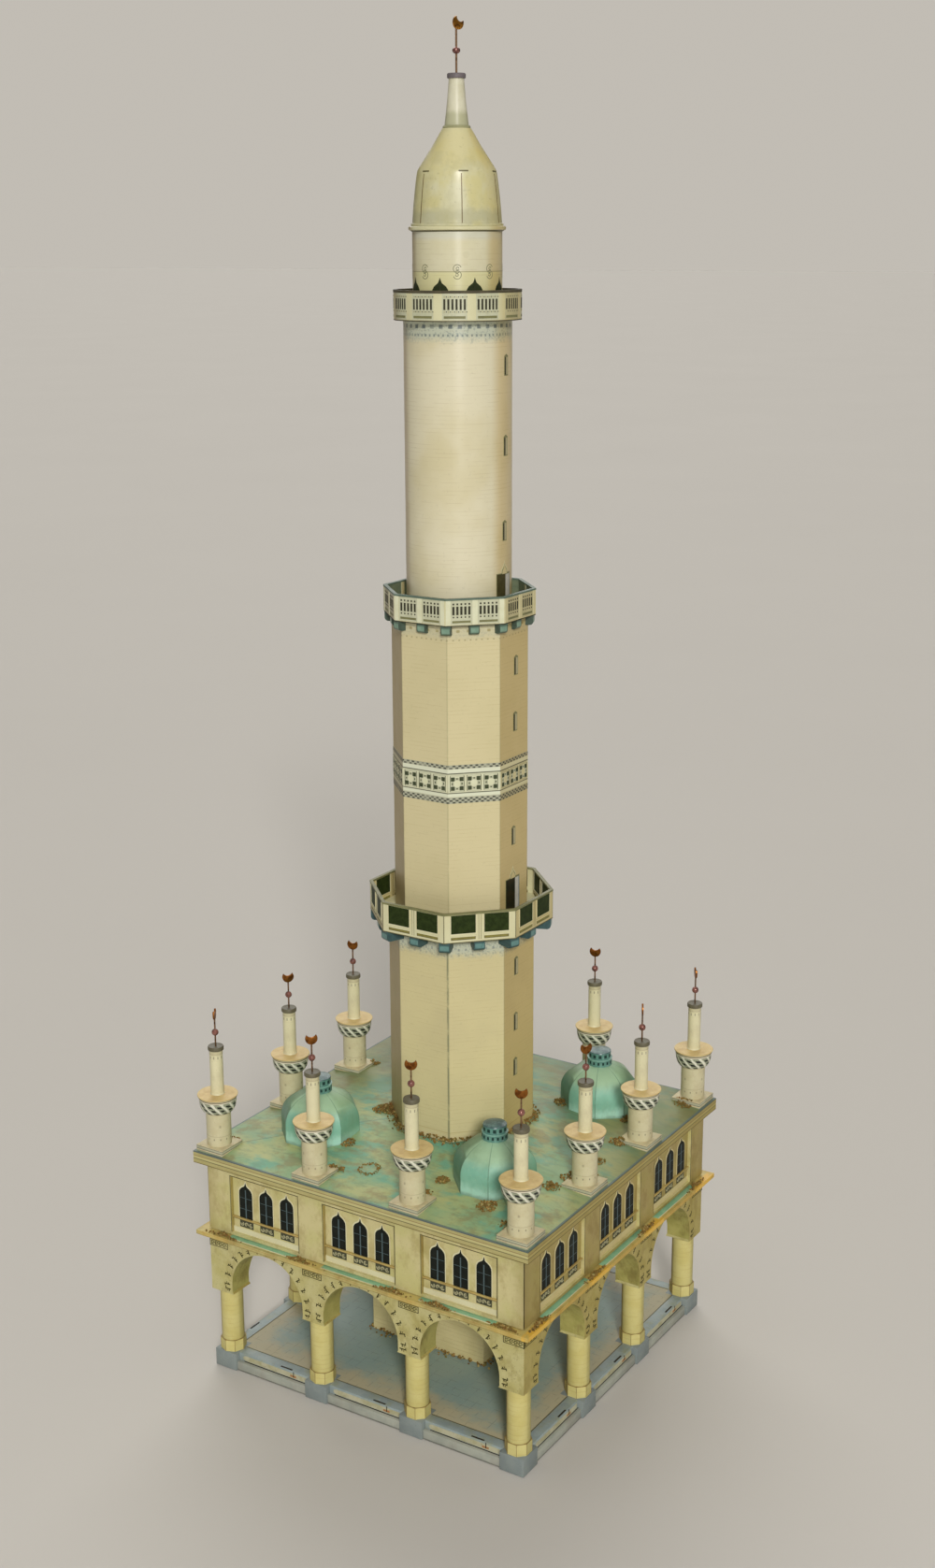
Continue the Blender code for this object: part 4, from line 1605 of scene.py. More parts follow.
@dataclass
class Storey:
    """Upper storey: printed windows, rails and strips in each recessed bay."""

    recess_depth: float = 1.2
    recess_half: float = 13.3
    recess_low: float = 50.7
    recess_high: float = 70.2
    window_pitch: float = 8.15
    window_low: float = 56.1
    window_tip: float = 68.8
    window_half: float = 2.6
    bar_heights: tuple[float, float] = (59.4, 63.2)
    rail_height: float = 55.8
    scroll_height: float = 54.1
    ledge_top: float = 49.4

    def window_outline(self, grow: float = 0.0) -> list[tuple[float, float]]:
        """Ogee window with shoulders.

        Args:
            grow: how much larger it is all round.

        Returns:
            The outline.
        """
        low, half = self.window_low, self.window_half
        right = [(half, 64.6), (2.5, 65.5), (2.05, 66.3), (1.4, 66.85), (0.75, 67.2), (0.34, 67.6)]
        right = [(x + grow, z + (grow if index else 0.0)) for index, (x, z) in enumerate(right)]
        return pointed([(half + grow, low - grow), *right], self.window_tip + 1.5 * grow)

    def build_window(self) -> Piece:
        """Make one window with its frame, glass, mullion, cross bars and scroll panel.

        Returns:
            The window.
        """
        parts = [Bench.plate(self.window_outline(0.32), PALE_CREAM, 0.16),
                 Bench.plate(self.window_outline(), DARK_GLASS, 0.2),
                 Bench.strip(-0.2, 0.2, self.window_low, 66.2, BAR_BLUE, 0.24)]
        reach = self.window_half - 0.3
        parts += Bench.strips([(-reach, reach, z, z + 0.14) for z in self.bar_heights], BAR_BLUE, 0.22)
        parts.append(Bench.strip(-2.7, 2.7, 52.9, 55.5, PANEL_GREY, 0.14))
        curl = arc(0.72, 0, 270, 9) + arc(0.42, 270, 0, 9)
        for x, turn in ((-1.7, 200), (0.0, 20), (1.7, 290)):
            item = Bench.plate(curl, SCROLL_WHITE, 0.2)
            parts.append(Bench.move(item, at(x, 0.0, self.scroll_height) @ tilted(turn)))
            parts.append(Bench.strip(x - 0.16, x + 0.16, 53.95, 54.27, SCROLL_WHITE, 0.2))
        return Bench.join(parts)

    def build_frame_lines(self) -> list[Piece]:
        """Make the thin printed lines round a recess, and the grey of its reveals, which is painted shade.

        Returns:
            The lines and the prints.
        """
        half, low, high, depth = self.recess_half, self.recess_low, self.recess_high, self.recess_depth
        lines = Bench.strips([(-half - 0.3, -half - 0.05, low, high + 0.3),
                              (half + 0.05, half + 0.3, low, high + 0.3),
                              (-half - 0.3, half + 0.3, high + 0.05, high + 0.3)], LINE_OLIVE, 0.1)
        for line in lines:
            Bench.move(line, at(0.0, -depth, 0.0))
        # The reveals are grey: painted shade in the recess.
        for sign, left in ((-1, 0.0), (1, -depth)):
            reveal = Bench.strip(left, left + depth, low, high, REVEAL_SHADE, 0.1)
            lines.append(Bench.move(reveal, at(sign * half, 0.0, 0.0) @ around(-90 * sign)))
        return lines

    def build_bay(self) -> Piece:
        """Make everything in one recess of the front.

        Returns:
            The bay.
        """
        half, pitch = self.recess_half, self.window_pitch
        windows = Bench.repeat(self.build_window(), [at(x, 0.0, 0.0) for x in (-pitch, 0.0, pitch)])
        rail = Bench.block((-half, -0.7, self.rail_height), (half, 0.1, self.rail_height + 0.5),
                           RAIL_TAN, 0.12)
        # A brown line under the rail: painted shade under it.
        line = Bench.strip(-half, half, self.rail_height - 0.35, self.rail_height, LINE_BROWN, 0.4)
        # A pale strip at the recess's foot: painted highlight below the panel above it.
        foot = Bench.strip(-half, half, self.recess_low - 0.1, 52.5, PALE_CREAM, 0.26)
        bay = Bench.join([windows, rail, line, foot] + self.build_frame_lines())
        return Bench.move(bay, at(0.0, self.recess_depth - FACE, 0.0))

    def build_ledge_strip(self) -> Piece:
        """Make the turquoise strip on the ledge at the foot of a bay.

        Returns:
            The strip and the line before it.
        """
        half, low = self.recess_half, self.ledge_top
        strip = Bench.block((-half, -FACE - 1.7, low), (half, 0.3 - FACE, low + 0.22), STRIP_TURQUOISE, 0.05)
        line = Bench.block((-half, -FACE - 2.0, low), (half, -FACE - 1.7, low + 0.18), PALE_CREAM, 0.04)
        return Bench.join([strip, line])

    def build(self) -> None:
        """Model one bay and one ledge strip and copy them to the sides."""
        bay, strip = self.build_bay(), self.build_ledge_strip()
        for side in Side:
            for word, item, slot in (("windows", bay, Slot.CREAM), ("ledge_strips", strip, Slot.AQUA)):
                Bench.hand_over(f"{word}_{side.word}", [Bench.repeat(item, side.bays, keep=True)], slot)
        Bench.drop(bay, strip)


@dataclass
class Crescent:
    """Crescent cut from sheet metal, its horns up and its lowest point at the origin."""

    radius: float
    thick: float
    finish: MetalFinish
    rise: float = 1.05
    hollow: float = 0.85
    steps: int = 26
    bevel: float = 0.1

    def outline(self) -> list[tuple[float, float]]:
        """Outer arc round the bottom, inner arc back.

        Returns:
            The outline.
        """
        lift, inner = self.rise * self.radius, self.hollow * self.radius
        height = (lift ** 2 + self.radius ** 2 - inner ** 2) / (2 * lift)
        reach = math.sqrt(self.radius ** 2 - height ** 2)
        horn, inner_horn = (math.degrees(math.atan2(z, reach)) for z in (height, height - lift))
        back = arc(inner, 360 + inner_horn, 180 - inner_horn, self.steps, z=self.radius + lift)
        return arc(self.radius, 180 - horn, 360 + horn, self.steps, z=self.radius) + back[1:-1]

    def build(self) -> Piece:
        """Make the crescent with its edges taken off.

        Returns:
            The crescent.
        """
        moon = Bench.plate(self.outline(), self.finish, self.thick, self.thick / 2)
        Bench.edit(moon)
        bpy.ops.mesh.bevel(offset=self.bevel * MM, segments=2, affect="EDGES", clamp_overlap=True)
        bpy.ops.object.mode_set(mode="OBJECT")
        return Bench.smooth(moon)


@dataclass
class Turrets:
    """Twelve small turrets with woven bands, beads and crescents."""

    ring: Ring
    turns: dict[str, float]
    pad_foot: float = 73.25
    radius: float = 3.95
    bowl: tuple[tuple[float, float], ...] = (
        (4.4, 11.2), (4.85, 11.5), (5.25, 12.1), (5.55, 12.8), (5.75, 13.6), (5.87, 14.5), (5.95, 15.4),
        (6.0, 16.2))
    disc_radius: float = 6.45
    disc_top: float = 16.9
    upper_radius: float = 2.1
    cap_radius: float = 2.5
    cap: tuple[float, float] = (31.8, 33.1)
    wire: float = 0.26
    bead_height: float = 37.6
    bead_radius: float = 1.1
    moon_foot: float = 41.9
    moon_radius: float = 1.9
    moon_thick: float = 0.55

    @staticmethod
    def card() -> WovenBandFinish:
        """Describe the printed card of the shafts, with the woven band.

        Returns:
            The finish.
        """
        line, dark = ink(176, 168, 136), ink(74, 60, 48)
        return WovenBandFinish(
            "turret_card", ink(204, 198, 162), ink(192, 182, 142), 4.0, own=True, rough=0.44,
            speck=Speck(0.16), stain=Stain(ink(176, 164, 132), 0.3), bands=(
                Band(3.35, 3.5, line), Band(10.7, 10.9, line), Band(28.4, 28.55, line),
                Band(30.6, 30.75, line),
                Band(15.3, 15.68, ink(218, 214, 192)), Band(15.72, 15.95, dark), Band(16.2, 16.45, dark),
                Band(17.0, 30.4, ink(222, 218, 180), soft=0.3, share=0.75)),
            dots=(DotRow(2.4, 0.6, 12, 0.16, ink(88, 80, 66)), DotRow(29.6, 0.9, 10, 0.24, ink(90, 86, 76)),
                  DotRow(6.9, 0.8, 4, 0.06, ink(110, 100, 84))))

    def build_shafts(self) -> Piece:
        """Make the lower shaft, the bowl with its band, the disc and the upper shaft.

        Returns:
            The shafts.
        """
        edge, top, thin, card = self.disc_radius, self.disc_top, self.upper_radius, self.card()
        body = [(0.0, -0.2), (self.radius, -0.2), (self.radius, 11.1), *self.bowl, (edge - 0.15, 16.35),
                (edge - 0.15, top - 0.12), (0.0, top - 0.12)]
        disc = [(0.0, top - 0.3), (edge - 0.02, top - 0.3), (edge, top - 0.1), (edge - 0.1, top),
                (edge - 0.5, top + 0.02), (0.0, top + 0.1)]
        upper = [(0.0, top), (thin + 0.25, top), (thin + 0.2, top + 0.2), (thin, top + 0.45),
                 (thin, self.cap[0]), (0.0, self.cap[0])]
        return Bench.join([Bench.turned(profile, SMALL_ROUND, finish)
                           for profile, finish in ((body, card), (disc, BALCONY_TAN), (upper, card))])

    def build_cap(self) -> Piece:
        """Make the grey cap, the wire and the bead.

        Returns:
            The top of a turret.
        """
        (low, high), edge, tip = self.cap, self.cap_radius, self.moon_foot + 0.3
        cap = [(0.0, low), (edge - 0.1, low), (edge, low + 0.12), (edge, high - 0.3), (edge - 0.15, high),
               (edge - 0.5, high - 0.1), (0.0, high - 0.15)]
        wire = [(0.0, high - 0.3), (self.wire, high - 0.3), (self.wire, tip), (0.0, tip)]
        bead = arc(self.bead_radius, -90, 90, 12, z=self.bead_height)
        return Bench.join([Bench.turned(cap, SMALL_ROUND, CAP_GREY), Bench.turned(wire, 10, WIRE_BROWN),
                           Bench.turned(bead, 24, BEAD_PINK)])

    def build_pad(self) -> Piece:
        """Make the square pad with a printed, lined skirt.

        Returns:
            The pad, its top at height 0.
        """
        grey = ink(104, 112, 104)
        finish = CardFinish(
            "pad_card", ink(202, 192, 152), ink(196, 172, 132), 2.6, own=True,
            speck=Speck(0.35, ink(140, 120, 100)), stain=Stain(ink(150, 152, 122), 0.4, 3.0),
            bands=(Band(-0.4, -0.2, grey), Band(-1.0, -0.4, ink(176, 176, 148)), Band(-1.25, -1.0, grey),
                   Band(-2.3, -1.7, ink(150, 156, 136)), Band(-3.6, -3.35, ink(140, 92, 48)),
                   Band(-4.66, -4.4, ink(92, 88, 56)), Band(-6.2, -5.8, ink(120, 108, 60))))
        low = (-PAD_HALF, -PAD_HALF, self.pad_foot - PAD_TOP)
        return Bench.block(low, (PAD_HALF, PAD_HALF, 0.0), finish, 0.12)

    def build(self) -> None:
        """Model one turret and copy it to its places, each crescent turned its own way."""
        pad, shaft = Bench.keep_own_place(self.build_pad()), Bench.keep_own_place(self.build_shafts())
        top, moon = self.build_cap(), Crescent(self.moon_radius, self.moon_thick, CRESCENT_COPPER).build()
        Bench.move(moon, at(0.0, 0.0, self.moon_foot))
        for name, (x, y) in self.ring.places().items():
            turns = (0.0, (37 * len(name) + x * 3) % 360, 0.0, self.turns[name])
            parts = [Bench.copy(item, at(x, y, PAD_TOP) @ around(turn))
                     for item, turn in zip((pad, shaft, top, moon), turns)]
            Bench.hand_over(f"card_turret_{name}", parts, Slot.CREAM, f"turret_{name}")
        Bench.drop(pad, shaft, top, moon)


@dataclass
class RoofDomes:
    """Four eight-sided aqua domes with teal lanterns."""

    offset: float = 33.0
    foot: float = 74.6
    half: float = 11.9
    shoulder: tuple[tuple[float, float], ...] = (
        (11.9, 84.2), (11.88, 85.4), (11.75, 86.5), (11.45, 87.6), (11.0, 88.7), (10.35, 89.75),
        (9.5, 90.75), (8.5, 91.65), (7.4, 92.4), (6.2, 93.05), (5.0, 93.6), (3.9, 94.1))
    lantern: tuple[tuple[float, float], ...] = (
        (0.0, 93.6), (3.9, 93.6), (4.0, 93.9), (3.95, 94.5), (3.95, 96.1), (4.1, 96.25), (4.1, 96.5),
        (3.62, 96.65), (3.6, 98.35), (3.72, 98.5), (3.6, 98.75), (2.6, 99.05), (1.2, 99.25), (0.0, 99.3))
    slots: tuple[tuple[int, float, float, float, float], ...] = (
        (16, 3.95, 94.75, 95.7, 0.34), (12, 3.6, 96.95, 98.05, 0.48))
    corners: tuple[tuple[str, int, int], ...] = (
        ("front_left", -1, -1), ("front_right", 1, -1), ("back_right", 1, 1), ("back_left", -1, 1))

    @staticmethod
    def card() -> CardFinish:
        """Describe the aqua card: darker along its folds, with painted shade on its sides, and bands from a
        green top to a pale foot, the pale foot partly a painted highlight.

        Returns:
            The finish.
        """
        return CardFinish(
            "dome_card", ink(150, 192, 168), ink(126, 172, 148), 5.0, 0.7, own=True, rough=0.42,
            folds=Folds(OCTAGON, 0.012, 0.6, ink(88, 122, 104)), painted_shade=(0.82, 0.84, 0.78, 1.0),
            left_painted_shade=(0.58, 0.6, 0.56, 1.0), speck=Speck(0.2, ink(176, 196, 160), 1.2),
            stain=Stain(ink(120, 146, 112), 0.25),
            # The first band, the pale foot, is partly the card's colour and partly a painted highlight.
            bands=(Band(78.6, 82.6, ink(172, 220, 204), soft=1.4, ragged=1.6, share=0.75),
                   Band(82.6, 88.5, ink(112, 184, 164), soft=1.6, ragged=2.2, share=0.45),
                   Band(90.0, 94.4, ink(166, 194, 152), soft=1.6, ragged=1.0, share=0.65),
                   Band(76.0, 80.0, ink(96, 116, 96), soft=0.6, ragged=1.0, share=0.5)))

    def build_dome(self) -> Piece:
        """Make eight gores on an upright foot, and a lantern of two drums with dark slots.

        Returns:
            The dome.
        """
        profile = [(0.0, self.foot), (self.half, self.foot), *self.shoulder, (0.0, self.shoulder[-1][1])]
        parts = [Bench.turned(profile, OCTAGON, self.card()),
                 Bench.turned(self.lantern, SMALL_ROUND, LANTERN_TEAL)]
        for count, radius, low, high, half in self.slots:
            slot = Bench.bent(Bench.strip(-half, half, low, high, LANTERN_DARK, 0.1), radius, half, 2)
            parts.append(Bench.repeat(slot, evenly(count)))
        return Bench.keep_own_place(Bench.join(parts))

    def build(self) -> None:
        """Model one dome and copy it to the four corners."""
        dome = self.build_dome()
        for name, x, y in self.corners:
            twin = Bench.copy(dome, at(x * self.offset, y * self.offset, 0.0))
            Bench.hand_over(f"card_dome_{name}", [twin], Slot.AQUA, f"roof_dome_{name}")
        Bench.drop(dome)


@dataclass
class Gallery:
    """Sizes of one gallery, and the parts that two or three of them share."""

    name: str
    half: float
    low: float
    high: float
    shaft: float
    card: float = 0.8
    deck: float = 1.0
    corbel_curve: float = 1.2

    @property
    def side(self) -> float:
        """Width of one side of an eight-sided parapet."""
        return 2 * self.half * math.tan(math.pi / OCTAGON)

    @property
    def tall(self) -> float:
        """Height of the parapet's top edge over the gallery's underside."""
        return self.high - self.low

    def shell(self, sides: int, finish: CardFinish) -> Piece:
        """Make the deck and the parapet in one.

        Args:
            sides: sides of the gallery.
            finish: its card.

        Returns:
            The shell.
        """
        inside, deck = self.half - self.card, self.low + self.deck
        return Bench.turned([
            (0.0, self.low), (self.half - 0.05, self.low), (self.half, self.low + 0.05),
            (self.half, self.high), (inside, self.high), (inside, deck), (0.0, deck)], sides, finish)

    def rail(self, sides: int, finish: CardFinish, tall: float = 0.55, proud: float = 0.12) -> Piece:
        """Make the rail along the top edge of the parapet.

        Args:
            sides: sides of the gallery.
            finish: card of the rail.
            tall: height of the rail.
            proud: how far it stands out on either side.

        Returns:
            The rail.
        """
        inside = self.half - self.card - proud
        return Bench.tube(self.half + proud, inside, self.high - tall, self.high + 0.02, sides, finish)

    def foot_line(self, sides: int, finish: CardFinish, tall: float = 0.25) -> Piece:
        """Make the thin line along the parapet's foot."""
        return Bench.tube(self.half + 0.06, self.half - 0.3, self.low, self.low + tall, sides, finish)

    def corbels(self, tall: float, wide: float, side: CardFinish, front: CardFinish) -> Piece:
        """Make a corbel with a round lower edge at each corner and under the middle of each side.

        Args:
            tall: height of a corbel.
            wide: its width.
            side: darker card of its sides and edges, which is painted shade.
            front: card of its front.

        Returns:
            The corbels.
        """
        parts, curve = [], self.corbel_curve
        for number in range(2 * OCTAGON):
            stretch = 1 / math.cos(math.pi / OCTAGON) if number % 2 else 1.0
            inner, outer = self.shaft * stretch - 0.6, self.half * stretch - 0.45
            layers = []
            # The darker side layer shows as painted shade on the sides and along both edges of the front.
            for grow, half, finish in ((0.0, wide / 2, side), (0.04, wide / 2 - 0.3, front)):
                edge, foot = outer + grow, -tall - grow
                bow = arc(curve, 0, -90, 8, edge - curve, foot + curve)
                outline = [(inner, 0.1), (edge, 0.1), *bow, (inner, foot)]
                layers.append(Bench.smooth(Bench.plate(outline, finish, 2 * half, half)))
            corbel = Bench.keep_own_place(Bench.join(layers))
            parts.append(Bench.move(corbel, around(22.5 * number - 90) @ at(0.0, 0.0, self.low)))
        return Bench.join(parts)

    def on_sides(self, item: Piece, inner: bool = False) -> Piece:
        """Copy what was made for one facet to all eight.

        Args:
            item: piece that faces the front, its plane at y = 0.
            inner: whether it goes to the inner faces.

        Returns:
            The copies.
        """
        spot = at(0.0, self.card - self.half, 0.0) @ around(180) if inner else at(0.0, -self.half, 0.0)
        return Bench.repeat(Bench.move(item, spot), evenly(OCTAGON))


@dataclass
class FirstGallery(Gallery):
    """Gallery with two green panels a side."""

    panel_centre: float = 5.2
    panel_half: float = 3.85
    panel_low: float = 3.0
    panel_high: float = 8.85

    def face(self) -> Piece:
        """Make the panels, frames and slot lines of one facet, its plane at y = 0.

        Returns:
            The face.
        """
        parts, edge, top = [], self.side / 2, self.tall - 0.6
        low, high = self.panel_low, self.panel_high
        for centre in (-self.panel_centre, self.panel_centre):
            left, right = centre - self.panel_half, centre + self.panel_half
            parts += Bench.strips([(x, x + 0.3, low - 0.3, high) for x in (left - 0.3, right)],
                                  PALE_CREAM, 0.24)
            parts += [Bench.strip(left, right, low, high, PANEL_GREEN, 0.1),
                      Bench.strip(left - 0.3, right + 0.3, low - 0.35, low, PALE_CREAM, 0.26),
                      Bench.strip(left, right, 0.95, 2.0, LINE_OLIVE, 0.08),
                      Bench.strip(left + 0.2, right - 0.2, 1.15, 1.85, SLOT_OLIVE, 0.1),
                      Bench.strip(left - 0.1, right + 0.1, 1.9, 2.1, PALE_CREAM, 0.22)]
        parts += Bench.strips([(x, x + 0.12, 0.8, top) for x in (-0.42, 0.3)], LINE_OLIVE, 0.08)
        parts += Bench.strips([(x, x + 0.12, 0.3, top) for x in (0.02 - edge, edge - 0.14)], LINE_OLIVE, 0.09)
        return Bench.move(Bench.join(parts), at(0.0, 0.0, self.low))

    def build(self) -> None:
        """Make the gallery and its corbels."""
        parts = [self.shell(OCTAGON, PLAIN_CREAM), self.rail(OCTAGON, RAIL_OLIVE),
                 self.foot_line(OCTAGON, LINE_OLIVE), self.on_sides(self.face()),
                 self.on_sides(self.face(), inner=True)]
        Bench.hand_over(f"{self.name}_card", parts, Slot.CREAM, self.name)
        Bench.hand_over(f"{self.name}_corbels", [self.corbels(3.3, 3.4, CORBEL_SHADE, CORBEL_TEAL)], Slot.AQUA)


@dataclass
class SecondGallery(Gallery):
    """Gallery with two baluster panels a side."""

    panel_centre: float = 4.1
    panel_half: float = 3.3
    slots: int = 5
    slot_pitch: float = 1.2
    post_half: float = 0.8

    def face(self) -> Piece:
        """Make the baluster panels of one facet, its plane at y = 0.

        Returns:
            The face.
        """
        parts, edge, tall = [], self.side / 2 - 0.15, self.tall
        for centre in (-self.panel_centre, self.panel_centre):
            left, right = centre - self.panel_half, centre + self.panel_half
            parts.append(Bench.strip(left, right, 0.5, tall - 0.6, PANEL_PALE, 0.1))
            for index in range(self.slots):
                x = centre + (index - (self.slots - 1) / 2) * self.slot_pitch
                parts += Bench.strips([(x - 0.34, x + 0.34, 3.4, 5.9), (x - 0.26, x + 0.26, 6.35, 6.87),
                                       (x - 0.22, x + 0.22, 2.5, 2.94)], SLOT_GREY, 0.14)
            parts.append(Bench.strip(left + 0.5, right - 0.5, 1.0, 1.65, RAIL_OLIVE, 0.14))
        reach = self.panel_centre + self.panel_half
        for left, right in ((-self.post_half, self.post_half), (-edge, -reach), (reach, edge)):
            parts.append(Bench.strip(left, right, 0.35, tall - 0.5, POST_PALE, 0.2))
        return Bench.move(Bench.join(parts), at(0.0, 0.0, self.low))

    def build(self) -> None:
        """Make the gallery, the lining of its parapet and its corbels."""
        face, deck = self.half - self.card, self.low + self.deck
        post = Bench.strip(-self.post_half, self.post_half, deck, self.high - 0.5, POST_PALE, 0.24)
        parts = [self.shell(OCTAGON, PLAIN_CREAM), self.rail(OCTAGON, RAIL_TEAL, 0.5, 0.16),
                 self.foot_line(OCTAGON, SLOT_GREY), self.on_sides(self.face()),
                 self.on_sides(post, inner=True),
                 Bench.tube(face + 0.1, face - 0.1, deck, self.high - 0.4, OCTAGON, LINING_TEAL)]
        Bench.hand_over(f"{self.name}_card", parts, Slot.CREAM, self.name)
        Bench.hand_over(f"{self.name}_corbels", [self.corbels(2.9, 3.0, PALE_CORBEL_SHADE, CORBEL_PALE)], Slot.AQUA)


@dataclass
class ThirdGallery(Gallery):
    """Round gallery with twelve baluster panels."""

    panels: int = 12
    spread: float = 22.0
    slots: int = 6

    def face(self) -> Piece:
        """Make one panel, bent round the parapet, at the front.

        Returns:
            The panel.
        """
        half = math.radians(self.spread) / 2 * self.half
        pitch = 2 * half / (self.slots + 0.2)
        parts = [Bench.strip(-half, half, 0.5, self.tall - 0.6, PANEL_PALE, 0.1),
                 Bench.strip(0.5 - half, half - 0.5, 0.9, 1.6, RAIL_OLIVE, 0.14)]
        for index in range(self.slots):
            x = (index - (self.slots - 1) / 2) * pitch
            dot = x + pitch / 2
            parts.append(Bench.strip(x - 0.3, x + 0.3, 3.3, 6.3, SLOT_GREY, 0.14))
            for height in (6.9, 2.75):
                parts.append(Bench.plate(arc(0.24, 0, 315, 7, x, height), SCROLL_WHITE, 0.16))
                parts.append(Bench.strip(dot - 0.14, dot + 0.14, height - 0.14, height + 0.14,
                                         SLOT_GREY, 0.14))
        panel = Bench.move(Bench.join(parts), at(0.0, 0.0, self.low))
        return Bench.bent(panel, self.half, half, 8)

    def build(self) -> None:
        """Make the gallery."""
        parts = [self.shell(ROUND, PLAIN_CREAM), self.rail(ROUND, RAIL_BROWN, 0.75, 0.1),
                 self.foot_line(ROUND, RAIL_BROWN, 0.3), Bench.repeat(self.face(), evenly(self.panels))]
        Bench.hand_over(f"{self.name}_card", parts, Slot.CREAM, self.name)


@dataclass
class Shafts:
    """The three stacked shafts of the tower with their prints."""

    roof: float = 81.4
    deck: float = 0.9
    wall: float = 1.0
    lap: float = 0.2

    @staticmethod
    def wash(top: float, tall: float, share: float) -> tuple[Band, ...]:
        """Describe the blue-grey wash under the gallery above.

        Args:
            top: underside of the gallery.
            tall: how far down the wash reaches.
            share: how strong it is.

        Returns:
            The wash, and its grains.
        """
        soft = 0.3 * tall
        return (Band(top - tall, top + 5, ink(182, 190, 174), soft, 1.6, share),
                Band(top - 1.1 * tall, top + 5, ink(112, 128, 128), soft, 2.4, 0.55 * share, 0.7))

    def build(self) -> None:
        """Make the shafts."""
        first, second, third = DECKS
        grey = ink(92, 104, 110)
        lower = replace(
            MASONRY, name="shaft_lower_print", seam=22.5,
            bands=(Band(84.5, 84.8, ink(170, 150, 96), share=0.5), *self.wash(first, 6.2, 0.85)),
            dots=(DotRow(first - 4.4, 0.8, 64, 0.3, grey, 0.5),
                  DotRow(first - 6.2, 0.7, 64, 0.22, grey, 0.35)))
        middle = replace(
            MASONRY, name="shaft_middle_print", ground=ink(208, 198, 156), bands=self.wash(second, 4.0, 0.3),
            dots=(DotRow(second - 1.9, 0.8, 40, 0.3, ink(150, 140, 90), 0.8),
                  DotRow(second - 4.6, 0.45, 72, 0.3, ink(140, 130, 90), 0.6)))
        upper = replace(
            MASONRY, name="shaft_upper_print", ground=ink(218, 212, 184), bands=self.wash(third, 5.0, 0.85),
            dots=(DotRow(third - 1.46, 1.1, 36, 0.42, ink(82, 96, 100), 0.85),
                  DotRow(third - 3.9, 0.7, 72, 0.4, ink(96, 110, 112), 0.7)), folds=None, rough=0.31)
        for word, radius, low, high, sides, card in (
                ("lower", LOWER_SHAFT, self.roof, first, OCTAGON, lower),
                ("middle", MIDDLE_SHAFT, first + self.deck, second, OCTAGON, middle),
                ("upper", UPPER_SHAFT, second + self.deck, third, ROUND, upper)):
            tube = Bench.tube(radius, radius - self.wall, low, high + self.lap, sides, card)
            Bench.hand_over(f"{word}_shaft_card", [tube], Slot.CREAM, f"shaft_{word}")


@dataclass
class Frieze:
    """Printed band of squares round the middle shaft."""

    low: float = 192.1
    high: float = 204.1
    square_pitch: float = 5.25
    middle: float = 198.3
    proud: float = 0.1

    @staticmethod
    def card() -> CardFinish:
        """Describe the pale card with dark lines and two chains of small blocks.

        Returns:
            The finish.
        """
        dark, line, chain, white = ink(46, 50, 42), ink(84, 88, 70), ink(172, 174, 152), ink(216, 220, 196)
        rows = tuple(DotRow(z, 0.5, 72, 0.5, dark, 0.95, shift)
                     for z, shift in ((203.75, 0.0), (203.15, 0.5), (193.6, 0.0), (193.0, 0.5), (192.4, 0.0)))
        return CardFinish(
            "frieze_print", ink(198, 200, 172), ink(184, 184, 154), 3.0, painted_shade=TOWER_PAINTED_SHADE,
            bands=(Band(202.9, 204.2, chain), Band(192.0, 193.95, chain), Band(201.6, 202.8, white),
                   Band(194.25, 195.2, white), Band(201.3, 201.6, line), Band(195.2, 195.45, line)),
            dots=rows)

    def square(self) -> Piece:
        """Make one printed square: a ring of dark blocks round a pale cross.

        Returns:
            The square.
        """
        ring = [(0.0, z, 1.45, 0.42) for z in (-1.5, 1.5)] + [(x, 0.0, 0.42, 1.5) for x in (-1.4, 1.4)]
        blocks = [(x * 1.35, z * 1.45, 0.6, 0.62) for x in (-1, 1) for z in (-1, 1)]
        blocks += [(0.0, z, 0.2, 0.2) for z in (-1.55, 1.55)] + [(x, 0.0, 0.18, 0.26) for x in (-1.5, 1.5)]
        parts = []
        for marks, finish, depth in (([(0.0, 0.0, 2.0, 2.15)], POST_PALE, 0.14), (ring, FRIEZE_MID, 0.17),
                                     (blocks, FRIEZE_GREEN, 0.2)):
            parts += Bench.strips([(x - half, x + half, self.middle + z - tall, self.middle + z + tall)
                                   for x, z, half, tall in marks], finish, depth)
        parts += Bench.strips([(x, x + 0.14, 195.9, 200.8) for x in (-2.2, 2.06)], FRIEZE_GREEN, 0.16)
        parts += Bench.strips([(x, x + 0.42, 195.6, 201.1) for x in (-2.66, 2.24)], POST_PALE, 0.17)
        return Bench.join(parts)

    def build(self) -> None:
        """Make the sleeve and its squares."""
        outer = MIDDLE_SHAFT + self.proud
        sleeve = Bench.tube(outer, MIDDLE_SHAFT - 0.2, self.low, self.high, OCTAGON, self.card())
        spots = [turn @ at(x * self.square_pitch, -outer, 0.0)
                 for turn in evenly(OCTAGON) for x in (-1, 0, 1)]
        Bench.hand_over("frieze", [sleeve, Bench.repeat(self.square(), spots)], Slot.CREAM)


